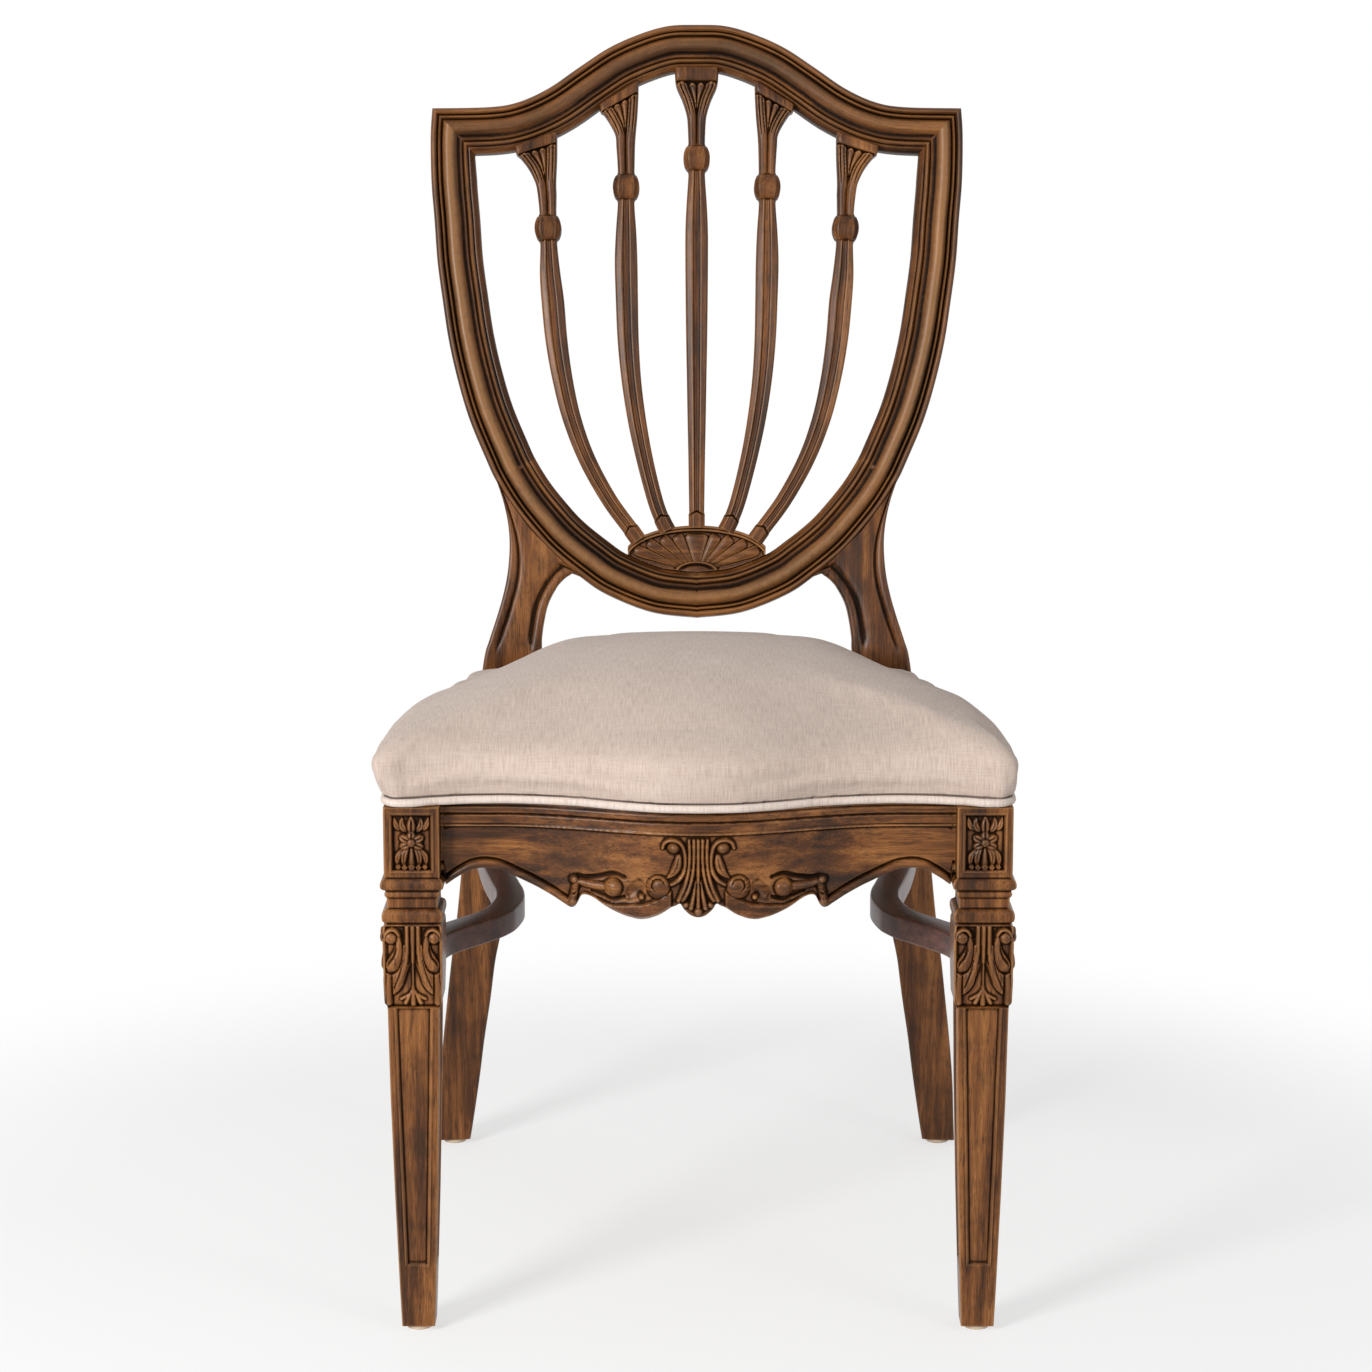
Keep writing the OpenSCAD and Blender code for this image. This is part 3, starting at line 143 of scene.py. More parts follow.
class Graph:
    """Builds the nodes of one material or one geometry tree."""

    def __init__(self, tree: bpy.types.NodeTree) -> None:
        """Starts from an empty tree."""
        self.tree = tree
        tree.nodes.clear()

    def add(self, kind: str, settings: Optional[dict] = None,
            inputs: Optional[dict] = None) -> bpy.types.Node:
        """Adds a node.

        Args:
            kind: The node's type.
            settings: The node's own settings; "stops" fills a colour ramp.
            inputs: Values or links by the socket's name or number.

        Returns:
            The node.
        """
        node = self.tree.nodes.new(kind)
        for key, value in (settings or {}).items():
            if key == "stops":
                self._fill_ramp(node.color_ramp, value)
            else:
                setattr(node, key, value)
        for key, value in (inputs or {}).items():
            if isinstance(value, Term):
                self.tree.links.new(value.socket, node.inputs[key])
            elif isinstance(value, bpy.types.NodeSocket):
                self.tree.links.new(value, node.inputs[key])
            else:
                node.inputs[key].default_value = value
        return node

    @staticmethod
    def _fill_ramp(ramp: bpy.types.ColorRamp, stops: Sequence[tuple]) -> None:
        """Sets a ramp's stops, each a place and a colour."""
        while len(ramp.elements) < len(stops):
            ramp.elements.new(0.5)
        for element, (place, colour) in zip(ramp.elements, stops):
            element.position = place
            element.color = opaque(colour)

    def term(self, kind: str, output: Union[int, str], settings: dict, inputs: dict) -> Term:
        """Adds a node and returns one of its outputs as a term."""
        return Term(self, self.add(kind, settings, inputs).outputs[output])

    def noise(self, vector: Term, scale: Union[float, tuple], detail: float = 2.0,
              rough: float = 0.5) -> Term:
        """Plain noise from 0 to 1 over a vector, at one scale or at one for each axis."""
        if isinstance(scale, tuple):
            vector, scale = self.stretch(vector, scale), 1.0
        return self.term("ShaderNodeTexNoise", 0, {}, {
            "Vector": vector, "Scale": scale, "Detail": detail, "Roughness": rough})

    def stretch(self, vector: Term, scale: Sequence[float]) -> Term:
        """A vector with its parts scaled one by one."""
        return self.term("ShaderNodeVectorMath", 0, {"operation": "MULTIPLY"}, {
            0: vector, 1: tuple(scale)})

    def step(self, value: Term, low: float, high: float) -> Term:
        """A smooth step from 0 at low to 1 at high."""
        return self.term("ShaderNodeMapRange", 0, {"interpolation_type": "SMOOTHSTEP"}, {
            0: value, 1: low, 2: high, 3: 0.0, 4: 1.0})

    def tint(self, colour: object, share: Term, towards: tuple) -> Term:
        """A colour drawn towards another by a varying share."""
        return self.term("ShaderNodeMix", 2, {"data_type": "RGBA"}, {
            0: share, 6: colour, 7: opaque(towards)})

    def skin(self, colour: Term, rough: Term, relief: Term, strength: float, depth: float,
             more: Optional[dict] = None) -> bpy.types.Node:
        """A surface with fine relief.

        Args:
            colour: Its base colour.
            rough: Its roughness.
            relief: The relief's height, from 0 to 1.
            strength: How strongly the relief shows.
            depth: The relief's depth in metres.
            more: Other inputs of the shader.

        Returns:
            The shader node.
        """
        bump = self.add("ShaderNodeBump", {}, {
            "Strength": strength, "Distance": depth, "Height": relief})
        return self.add("ShaderNodeBsdfPrincipled", {}, {
            "Base Color": colour, "Roughness": rough, "Normal": bump.outputs[0], **(more or {})})

    def ramp(self, factor: Term, stops: Sequence[tuple]) -> Term:
        """A colour ramp."""
        return self.term("ShaderNodeValToRGB", 0, {"stops": stops}, {0: factor})


Colour = tuple[float, float, float]


def tone(red: Number, green: Number, blue: Number) -> Colour:
    """A display colour, 0 to 255, as the linear colour that renders like it."""
    parts = [v / 255.0 for v in (red, green, blue)]
    return tuple(v / 12.92 if v <= 0.04045 else ((v + 0.055) / 1.055) ** 2.4 for v in parts)


def opaque(colour: Colour) -> tuple[float, float, float, float]:
    """A colour with full alpha."""
    return (*colour, 1.0)


SEAM_SHADE = tone(52, 38, 32)
TARNISH = tone(96, 90, 80)
SCUFF = tone(150, 132, 112)


class Finish:
    """Shared making of a material; a finish's own class adds its nodes."""

    name: str

    def make(self, source: Source = Source.GRAIN) -> bpy.types.Material:
        """The finish as a material, made once for each source.

        Args:
            source: Where the pattern's place comes from.

        Returns:
            The material.
        """
        title = f"{self.name}_{source.value}"
        found = bpy.data.materials.get(title)
        if found:
            return found
        material = bpy.data.materials.new(title)
        material.use_nodes = True
        graph = Graph(material.node_tree)
        shader = self.shade(graph, self.place(graph, source))
        graph.add("ShaderNodeOutputMaterial", {}, {"Surface": shader.outputs[0]})
        return material

    def place(self, graph: Graph, source: Source) -> Term:
        """The pattern's place in metres, with its length along Z."""
        if source is Source.GRAIN:
            return graph.term("ShaderNodeAttribute", "Vector", {"attribute_name": "grain"}, {})
        spot = graph.term("ShaderNodeTexCoord", "Object", {}, {})
        turns = {Source.ALONG_X: (0.0, math.pi / 2, 0.0), Source.ALONG_Y: (math.pi / 2, 0.0, 0.0),
                 Source.ALONG_Z: (0.0, 0.0, 0.0)}
        return graph.term("ShaderNodeMapping", 0, {}, {0: spot, "Rotation": turns[source]})

    def shade(self, graph: Graph, place: Term) -> bpy.types.Node:
        """The finish's shader node."""
        raise NotImplementedError


@dataclass(frozen=True)
class Walnut(Finish):
    """Antique wood: streaked grain, open pores, dark glaze and painted shade in recesses, rubbed
    edges and painted highlights.
    """

    name: str
    deep: Colour
    body: Colour
    warm: Colour
    light: Colour
    glaze: Colour
    rubbed: Colour
    glaze_share: float = 0.9
    rubbed_share: float = 0.7

    def shade(self, graph: Graph, place: Term) -> bpy.types.Node:
        """Grain colour, then glaze with painted shade and wear with painted highlights, from the
        piece's own attributes.
        """
        drift = graph.noise(place, (9.0, 9.0, 2.2), 2.0)
        streak = graph.noise(place, (170.0, 170.0, 7.0), 4.0, 0.6)
        figure = graph.noise(place, (46.0, 46.0, 5.0), 3.0, 0.55)
        fibre = graph.noise(place, (1300.0, 1300.0, 40.0), 2.0, 0.6)
        pore = graph.step(graph.noise(place, (1900.0, 1900.0, 130.0), 1.0), 0.62, 0.72)
        grade = figure * 0.46 + streak * 0.38 + fibre * 0.22 + drift * 0.2 - 0.13
        colour = graph.ramp(grade, [(0.37, self.deep), (0.465, self.body), (0.54, self.warm),
                                    (0.64, self.light)])
        colour = graph.tint(colour, pore * 0.55, self.deep)
        fleck = graph.step(graph.noise(place, (380.0, 380.0, 48.0), 3.0, 0.65), 0.54, 0.66)
        colour = graph.tint(colour, fleck * 0.5, self.deep)
        patch = graph.step(graph.noise(place, 34.0, 4.0, 0.6), 0.46, 0.68)
        colour = graph.tint(colour, patch * 0.4, self.deep)
        # Wear with painted highlights: rubbed bends and edges drawn towards a light tone
        rub_and_highlight = graph.term("ShaderNodeAttribute", "Fac", {"attribute_name": "wear"}, {})
        rubbed = (rub_and_highlight * (0.35 + graph.noise(place, 210.0, 3.0, 0.65) * 1.1)).clamp()
        colour = graph.tint(colour, rubbed * self.rubbed_share, self.rubbed)
        # Glaze with painted shade: recesses and hollows drawn towards a near-black tone
        low = graph.term("ShaderNodeAttribute", "Fac", {"attribute_name": "glaze"}, {})
        held = (low * (0.7 + graph.noise(place, 320.0, 3.0, 0.6) * 0.9)).clamp()
        colour = graph.tint(colour, held * self.glaze_share, self.glaze)
        rough = 0.27 + streak * 0.14 + held * 0.2 + fibre * 0.06
        relief = fibre * 0.5 + streak * 0.5 - pore * 0.7
        return graph.skin(colour, rough, relief, 0.22, 0.0006, {
            "Coat Weight": 0.42 - held * 0.42, "Coat Roughness": 0.36,
            "Specular IOR Level": 0.05})


@dataclass(frozen=True)
class BareWood(Finish):
    """Unfinished hardwood inside the seat frame."""

    name: str
    pale: Colour
    dark: Colour

    def shade(self, graph: Graph, place: Term) -> bpy.types.Node:
        """Growth bands with fine fibre."""
        band = graph.noise(place, (120.0, 120.0, 5.0), 4.0, 0.6)
        fibre = graph.noise(place, (1500.0, 1500.0, 50.0), 2.0)
        colour = graph.ramp(band * 0.7 + fibre * 0.3, [(0.35, self.dark), (0.62, self.pale)])
        return graph.skin(colour, 0.62 + fibre * 0.2, fibre, 0.25, 0.0004)


@dataclass(frozen=True)
class Linen(Finish):
    """Plain-woven linen with slubs; threads follow the piece's own weave coordinates."""

    name: str
    pale: Colour
    body: Colour
    shade_tone: Colour
    thread: float = 0.0009
    seam: float = 0.0

    def place(self, graph: Graph, source: Source) -> Term:
        """The weave's place over the cloth, in metres."""
        return graph.term("ShaderNodeAttribute", "Vector", {"attribute_name": "weave"}, {})

    def shade(self, graph: Graph, place: Term) -> bpy.types.Node:
        """Warp and weft slubs, thread relief and a soft sheen."""
        warp = graph.noise(place, (950.0, 70.0, 1.0), 3.0, 0.6)
        weft = graph.noise(place, (60.0, 900.0, 1.0), 3.0, 0.6)
        slub = graph.step(graph.noise(place, (640.0, 95.0, 1.0), 2.0), 0.57, 0.74)
        wide = graph.noise(place, 16.0, 2.0)
        split = graph.add("ShaderNodeSeparateXYZ", {}, {0: place})
        turn = 2.0 * math.pi / self.thread
        across = (Term(graph, split.outputs[0]) * turn).math("SINE")
        along = (Term(graph, split.outputs[1]) * turn).math("SINE")
        knit = across * along
        grade = warp * 0.62 + weft * 0.3 + wide * 0.16 - 0.04
        colour = graph.ramp(grade, [(0.34, self.shade_tone), (0.5, self.body), (0.68, self.pale)])
        colour = graph.tint(colour, slub * 0.4, self.shade_tone)
        colour = graph.tint(colour, graph.step(knit, 0.2, 1.0) * 0.12, self.shade_tone)
        if self.seam:
            # Painted shade in the seam's gap over the piping
            spot = graph.add("ShaderNodeSeparateXYZ", {}, {
                0: graph.term("ShaderNodeTexCoord", "Object", {}, {})})
            off = (Term(graph, spot.outputs[2]) - self.seam).math("ABSOLUTE")
            line = graph.step(off * -1.0, -0.0013, -0.0006) * (0.35 + wide * 0.9)
            colour = graph.tint(colour, line.clamp(), SEAM_SHADE)
        relief = knit * 0.35 + warp * 0.9 + weft * 0.5 + slub * 0.5
        return graph.skin(colour, 0.86 + warp * 0.1, relief, 0.35, 0.0006, {
            "Sheen Weight": 0.18, "Sheen Roughness": 0.5, "Specular IOR Level": 0.25})


@dataclass(frozen=True)
class Hardware(Finish):
    """Zinc-plated steel of the screws."""

    name: str
    base: Colour

    def shade(self, graph: Graph, place: Term) -> bpy.types.Node:
        """Brushed metal with a little tarnish."""
        scratch = graph.noise(place, (2200.0, 2200.0, 300.0), 2.0)
        stain = graph.noise(place, 400.0, 3.0)
        colour = graph.tint(opaque(self.base), graph.step(stain, 0.5, 0.75) * 0.4, TARNISH)
        return graph.add("ShaderNodeBsdfPrincipled", {}, {
            "Base Color": colour, "Metallic": 1.0, "Roughness": 0.28 + scratch * 0.2})


@dataclass(frozen=True)
class Nylon(Finish):
    """Moulded plastic of the glides."""

    name: str
    base: Colour

    def shade(self, graph: Graph, place: Term) -> bpy.types.Node:
        """Faint mould texture and scuffs."""
        scuff = graph.noise(place, 900.0, 3.0)
        colour = graph.tint(opaque(self.base), graph.step(scuff, 0.5, 0.8) * 0.35, SCUFF)
        return graph.skin(colour, 0.5 + scuff * 0.15, scuff, 0.1, 0.0003)


WALNUT = Walnut(
    "walnut", deep=tone(38, 21, 9), body=tone(82, 47, 21), warm=tone(115, 70, 34),
    light=tone(152, 100, 54), glaze=tone(9, 5, 3), rubbed=tone(172, 124, 78),
    rubbed_share=0.55)
# Painted shade: a darker, duller copy of the walnut for the braces in the shade under the seat
SHADED_WALNUT = Walnut(
    "dark_walnut", deep=tone(38, 20, 16), body=tone(66, 38, 31), warm=tone(84, 51, 42),
    light=tone(106, 70, 58), glaze=tone(18, 10, 8), rubbed=tone(132, 102, 88),
    glaze_share=0.85, rubbed_share=0.5)
PLAIN_WOOD = BareWood("plain_wood", pale=tone(212, 184, 142), dark=tone(172, 138, 98))
LINEN = Linen("linen", pale=tone(215, 197, 184), body=tone(201, 182, 169),
              shade_tone=tone(182, 161, 148), seam=0.4114)
PIPING = Linen("piping", pale=tone(230, 216, 206), body=tone(219, 203, 192),
               shade_tone=tone(196, 178, 165))
SCREW_STEEL = Hardware("screw_steel", base=tone(196, 194, 188))
GLIDE_PLASTIC = Nylon("glide_plastic", base=tone(206, 186, 162))


def spline(points: Sequence[Sequence[float]], steps: int) -> Array:
    """A smooth line through points.

    Args:
        points: The points it passes through.
        steps: Pieces between each two of them.

    Returns:
        The points of the line, one row each.
    """
    given = np.asarray(points, float)
    padded = np.vstack([given[:1], given, given[-1:]])
    t = np.linspace(0.0, 1.0, steps, endpoint=False)[:, None]
    spans = []
    for a, b, c, d in zip(padded, padded[1:], padded[2:], padded[3:]):
        spans.append(0.5 * (2 * b + (c - a) * t + (2 * a - 5 * b + 4 * c - d) * t**2
                            + (3 * b - a - 3 * c + d) * t**3))
    return np.vstack(spans + [given[-1:]])


def lengths(path: Array) -> Array:
    """Distance along a path at each of its points."""
    return np.concatenate([[0.0], np.cumsum(np.linalg.norm(np.diff(path, axis=0), axis=1))])


def unit(vectors: Array) -> Array:
    """Vectors scaled to a length of 1."""
    return vectors / np.maximum(np.linalg.norm(vectors, axis=-1, keepdims=True), 1e-9)


def headings(path: Array) -> Array:
    """The direction of travel at each point of a path."""
    return unit(np.gradient(path, axis=0))


def blend(a: Array, b: Array, share: Union[float, Array]) -> Array:
    """The point a share of the way from a to b."""
    return a + (b - a) * share


def xyz(x: Array, y: Array, z: Array) -> Array:
    """Points from their coordinates, spread to one shape."""
    return np.stack(np.broadcast_arrays(x, y, z), axis=-1)


def rise(x: Array, low: float, high: float) -> Array:
    """A smooth step from 0 at low to 1 at high."""
    t = np.clip((x - low) / (high - low), 0.0, 1.0)
    return t * t * (3.0 - 2.0 * t)


def hump(off: Array, width: float) -> Array:
    """A smooth bump of height 1 round 0."""
    return np.exp(-((off / width) ** 2))


def dome(off: Array) -> Array:
    """A half round of height 1 between -1 and 1."""
    return np.sqrt(np.clip(1.0 - off**2, 0.0, 1.0))


def toward(degrees: float) -> Array:
    """The unit vector at an angle from the first axis."""
    turn = math.radians(degrees)
    return np.array([math.cos(turn), math.sin(turn)])


class Relief:
    """Carving as heights over a flat field, in millimetres."""

    smooth = 4

    def __init__(self, across: Array, up: Array) -> None:
        """Starts level over a grid of places."""
        self.across = across
        self.up = up
        self.height = np.zeros(np.broadcast(across, up).shape)

    def far(self, x: float, y: float) -> Array:
        """Distance of each place from a point."""
        return np.hypot(self.across - x, self.up - y)

    def nearest(self, points: Array, radii: Array) -> tuple[Array, Array]:
        """Distance to a line of varying radius, as a share of that radius.

        Args:
            points: The line's points.
            radii: Its radius at each of them.

        Returns:
            The distance over the radius, and the radius there.
        """
        share = np.full(self.height.shape, 9.0)
        size = np.ones(self.height.shape)
        for a, b, ra, rb in zip(points, points[1:], radii, radii[1:]):
            d = b - a
            t = ((self.across - a[0]) * d[0] + (self.up - a[1]) * d[1]) / max(d @ d, 1e-9)
            t = np.clip(t, 0.0, 1.0)
            radius = ra + (rb - ra) * t
            new = self.far(a[0] + d[0] * t, a[1] + d[1] * t) / radius
            closer = new < share
            share = np.where(closer, new, share)
            size = np.where(closer, radius, size)
        return share, size

    def along(self, points: Sequence, radii: Union[float, Sequence]) -> tuple[Array, Array]:
        """Distance to a smooth line as a share of its radius, and that radius over its widest."""
        given = np.asarray(points, float)
        wide = np.broadcast_to(np.asarray(radii, float), len(given))
        line = spline(np.column_stack([given, wide]), self.smooth)
        share, size = self.nearest(line[:, :2], np.maximum(line[:, 2], 0.05))
        return share, size / wide.max()

    def ball(self, x: float, y: float, radius: float, height: float) -> None:
        """A round knob."""
        knob = height * dome(self.far(x, y) / radius)
        self.height = np.maximum(self.height, np.where(knob > 0, knob, self.height))

    def rib(self, points: Sequence, radii: Union[float, Sequence], height: float,
            base: float = 0.0) -> None:
        """A rounded rib along a smooth line, which may taper.

        Args:
            points: The line's points.
            radii: One radius, or one for each point.
            height: Height of the rib's crown where it is widest.
            base: Height that the rib stands on.
        """
        share, size = self.along(points, radii)
        crown = base + height * size * dome(share)
        self.height = np.where(share < 1.0, np.maximum(self.height, crown), self.height)

    def cut(self, points: Sequence, radii: Union[float, Sequence], depth: float) -> None:
        """A gouge cut along a smooth line; see rib for the arguments."""
        share, size = self.along(points, radii)
        gouge = depth * size * np.clip(1.0 - share**2, 0.0, 1.0)
        self.height = self.height - np.where(share < 1.0, gouge, 0.0)

    def leaf(self, points: Sequence, width: float, height: float, base: float = 0.0,
             vein: float = 0.35) -> None:
        """A pointed leaf along a line, with a hollow vein.

        Args:
            points: The leaf's middle line, from its root to its tip.
            width: Its half width at the widest.
            height: The height of its flanks.
            base: Height that it stands on.
            vein: Depth of the vein as a share of the height.
        """
        line = spline(points, 6)
        run = np.linspace(0.0, 1.0, len(line))
        radii = width * (0.25 + 0.75 * np.sin(np.pi * run**0.8)) * (1 - run**6)
        share, size = self.nearest(line, np.maximum(radii, 0.15))
        body = dome(share) - vein * hump(share, 0.22)
        crown = base + height * (0.4 + 0.6 * size / width) * body
        self.height = np.where(share < 1.0, np.maximum(self.height, crown), self.height)


def linked(name: str, data: bpy.types.ID) -> bpy.types.Object:
    """A new object in the scene."""
    piece = bpy.data.objects.new(name, data)
    bpy.context.scene.collection.objects.link(piece)
    return piece


def values_of(elements: bpy.types.bpy_prop_collection, key: str, width: int = 3,
              kind: type = float) -> Array:
    """One property of every element, one row each when it has several parts."""
    values = np.empty(len(elements) * width, kind)
    elements.foreach_get(key, values)
    return values.reshape(-1, width) if width > 1 else values


def store(mesh: bpy.types.Mesh, title: str, values: Array, domain: str = "POINT") -> None:
    """Writes an attribute of a mesh.

    Args:
        mesh: The mesh.
        title: The attribute's name.
        values: One number for each element, or one row of three.
        domain: The kind of element.
    """
    kind, key = ("FLOAT_VECTOR", "vector") if values.ndim > 1 else ("FLOAT", "value")
    layer = mesh.attributes.get(title) or mesh.attributes.new(title, kind, domain)
    layer.data.foreach_set(key, values.astype(np.float32).ravel())


def line_mesh(name: str, points: Array) -> bpy.types.Mesh:
    """A line of edges through points in metres."""
    mesh = bpy.data.meshes.new(name)
    mesh.from_pydata(points.tolist(), [(i, i + 1) for i in range(len(points) - 1)], [])
    return mesh


class Body:
    """A mesh under construction from tubes of rings, with its wood's own coordinates."""

    def __init__(self, name: str) -> None:
        """Starts empty."""
        self.name = name
        self.points: list[Array] = []
        self.grains: list[Array] = []
        self.faces: list[list[int]] = []
        self.count = 0

    def grid(self, points: Array, grain: Optional[Array] = None) -> None:
        """Adds a tube of rings, closed at its first and last ring.

        Args:
            points: The places, rings by columns by three, in millimetres.
            grain: The same for the wood's own coordinates; the places by default.
        """
        rings, columns = points.shape[:2]
        index = self.count + np.arange(rings * columns).reshape(rings, columns)
        after = np.roll(index, -1, axis=1)
        quads = np.stack([index[:-1], after[:-1], after[1:], index[1:]], axis=-1)
        self.faces += quads.reshape(-1, 4).tolist() + [index[0, ::-1].tolist(), index[-1].tolist()]
        self.points.append(points.reshape(-1, 3))
        self.grains.append((points if grain is None else grain).reshape(-1, 3))
        self.count += rings * columns

    def mesh(self, back: float = SET_BACK, scale: float = MM) -> bpy.types.Mesh:
        """The bare mesh, set back by a distance in its own unit and then scaled."""
        mesh = bpy.data.meshes.new(self.name)
        points = (np.vstack(self.points) + [0.0, back, 0.0]) * scale
        mesh.from_pydata(points.tolist(), [], self.faces)
        return mesh

    def build(self, finish: bpy.types.Material) -> bpy.types.Object:
        """The Blender object, with its glaze and painted shade, and its wear and painted highlights.
        """
        mesh = self.mesh()
        store(mesh, "grain", np.vstack(self.grains) * MM)
        return finished(self.name, mesh, finish)


@contextmanager
def editing(mesh: bpy.types.Mesh) -> Iterator[bmesh.types.BMesh]:
    """Opens a mesh for editing and writes it back."""
    edit = bmesh.new()
    edit.from_mesh(mesh)
    yield edit
    edit.to_mesh(mesh)
    edit.free()


def finished(name: str, mesh: bpy.types.Mesh, finish: bpy.types.Material,
             weather: bool = True) -> bpy.types.Object:
    """Cleans a mesh, turns its faces out and makes its object.

    Args:
        name: The piece's name.
        mesh: Its mesh, in metres.
        finish: Its material.
        weather: Whether to work out glaze, wear, painted shade and painted highlights from the
            shape.

    Returns:
        The object, at the origin.
    """
    with editing(mesh) as edit:
        bmesh.ops.dissolve_degenerate(edit, dist=1e-7, edges=edit.edges)
        bmesh.ops.recalc_face_normals(edit, faces=edit.faces)
        for face in edit.faces:
            face.smooth = True
    mesh.materials.clear()
    mesh.materials.append(finish)
    if weather:
        weathered(mesh)
    mesh.set_sharp_from_angle(angle=math.radians(42.0))
    return linked(name, mesh)


# Bends and hollows where glaze and painted shade start and where they are full, and the same for
# rubbed bends with painted highlights
GLAZE_SHADE_BEND, GLAZE_SHADE_HOLLOW, RUBBED_HIGHLIGHT_BEND = (0.02, 0.36), (0.06, 0.6), (0.12, 0.7)


def weathered(mesh: bpy.types.Mesh, radius: float = 1.4, spread: int = 3,
              reach: int = 20) -> None:
    """Stores where glaze and painted shade settle and where edges are rubbed and given painted
    highlights, from the mesh's own shape.

    Args:
        mesh: The mesh, with faces that point outwards.
        radius: The bend radius in millimetres that counts in full.
        spread: How many times the bend is spread to neighbours.
        reach: How many times the shape is smoothed to find its hollows.
    """
    count = len(mesh.vertices)
    points, normals = values_of(mesh.vertices, "co"), values_of(mesh.vertices, "normal")
    edges = values_of(mesh.edges, "vertices", 2, int)
    degree = np.maximum(np.bincount(edges.ravel(), minlength=count), 1)
    a, b = edges[:, 0], edges[:, 1]
    step = points[b] - points[a]
    square = np.maximum((step**2).sum(1), 1e-10)
    bend = np.zeros(count)
    np.add.at(bend, a, 2.0 * (step * normals[a]).sum(1) / square)
    np.add.at(bend, b, -2.0 * (step * normals[b]).sum(1) / square)
    bend = np.clip(bend / degree * radius * MM, -1.5, 1.5)
    for _ in range(spread):
        total = bend * degree
        np.add.at(total, a, bend[b])
        np.add.at(total, b, bend[a])
        bend = total / (2 * degree)
    smooth = points.copy()
    for _ in range(reach):
        near = [np.bincount(a, smooth[b, k], count) + np.bincount(b, smooth[a, k], count)
                for k in range(3)]
        smooth = 0.5 * smooth + 0.5 * np.column_stack(near) / degree[:, None]
    cave = ((smooth - points) * normals).sum(1) / MM
    # Glaze with painted shade: darker in concave bends and deep hollows
    glaze = np.maximum(rise(bend, *GLAZE_SHADE_BEND), rise(cave, *GLAZE_SHADE_HOLLOW))
    # Painted shade: faces of the back that turn sideways, away from the front, are darkened
    painted_side_shade = 0.6 * rise(-np.abs(normals[:, 1]), -0.42, -0.15) * (points[:, 2] > 0.5)
    glaze = np.maximum(glaze, painted_side_shade)
    # Wear with painted highlight: lighter on convex bends
    wear = rise(-bend, *RUBBED_HIGHLIGHT_BEND) * (1 - rise(cave, 0.0, 0.25))
    store(mesh, "glaze", glaze)
    store(mesh, "wear", wear)


class Tree(Graph):
    """A geometry tree with named inputs, applied once and turned into a plain mesh."""

    def __init__(self, name: str, inputs: dict[str, str]) -> None:
        """Makes the tree.

        Args:
            name: The tree's name.
            inputs: The socket type of each named input after the geometry.
        """
        super().__init__(bpy.data.node_groups.new(name, "GeometryNodeTree"))
        face = self.tree.interface
        face.new_socket("Geometry", in_out="INPUT", socket_type="NodeSocketGeometry")
        for title, kind in inputs.items():
            face.new_socket(title, in_out="INPUT", socket_type=kind)
        face.new_socket("Geometry", in_out="OUTPUT", socket_type="NodeSocketGeometry")
        self.source = self.add("NodeGroupInput")

    def given(self, title: str) -> Term:
        """A named input."""
        return Term(self, self.source.outputs[title])

    def attribute(self, title: str) -> Term:
        """A vector that the start's points carry."""
        return self.term("GeometryNodeInputNamedAttribute", 0, {"data_type": "FLOAT_VECTOR"},
                         {"Name": title})

    def sweep(self, profile: bpy.types.NodeSocket) -> None:
        """Sweeps a closed curve along the start's edges, closes its ends and ends the tree."""
        line = self.add("GeometryNodeMeshToCurve", {}, {0: self.source.outputs[0]})
        level = self.add("GeometryNodeSetCurveNormal", {"mode": "Z_UP"}, {0: line.outputs[0]})
        swept = self.add("GeometryNodeCurveToMesh", {}, {
            "Curve": level.outputs[0], "Profile Curve": profile, "Fill Caps": True})
        self.end(swept.outputs[0])

    def end(self, result: bpy.types.NodeSocket) -> None:
        """Realizes the instances, sets the material and closes the tree."""
        real = self.add("GeometryNodeRealizeInstances", {}, {0: result})
        dressed = self.add("GeometryNodeSetMaterial", {}, {
            0: real.outputs[0], "Material": self.given("Finish")})
        self.add("NodeGroupOutput", {}, {0: dressed.outputs[0]})

    def apply(self, name: str, start: bpy.types.Mesh, values: dict[str, object]) -> bpy.types.Mesh:
        """Runs the tree on a mesh.

        Args:
            name: The name of the result.
            start: The mesh that goes in.
            values: The values of the named inputs.

        Returns:
            The result as a plain mesh.
        """
        holder = linked(f"{name}_start", start)
        modifier = holder.modifiers.new("tree", "NODES")
        modifier.node_group = self.tree
        for item in self.tree.interface.items_tree:
            if item.in_out == "INPUT" and item.name in values:
                modifier[item.identifier] = values[item.name]
        ready = bpy.context.evaluated_depsgraph_get()
        mesh = bpy.data.meshes.new_from_object(holder.evaluated_get(ready))
        mesh.name = name
        bpy.data.objects.remove(holder)
        return mesh


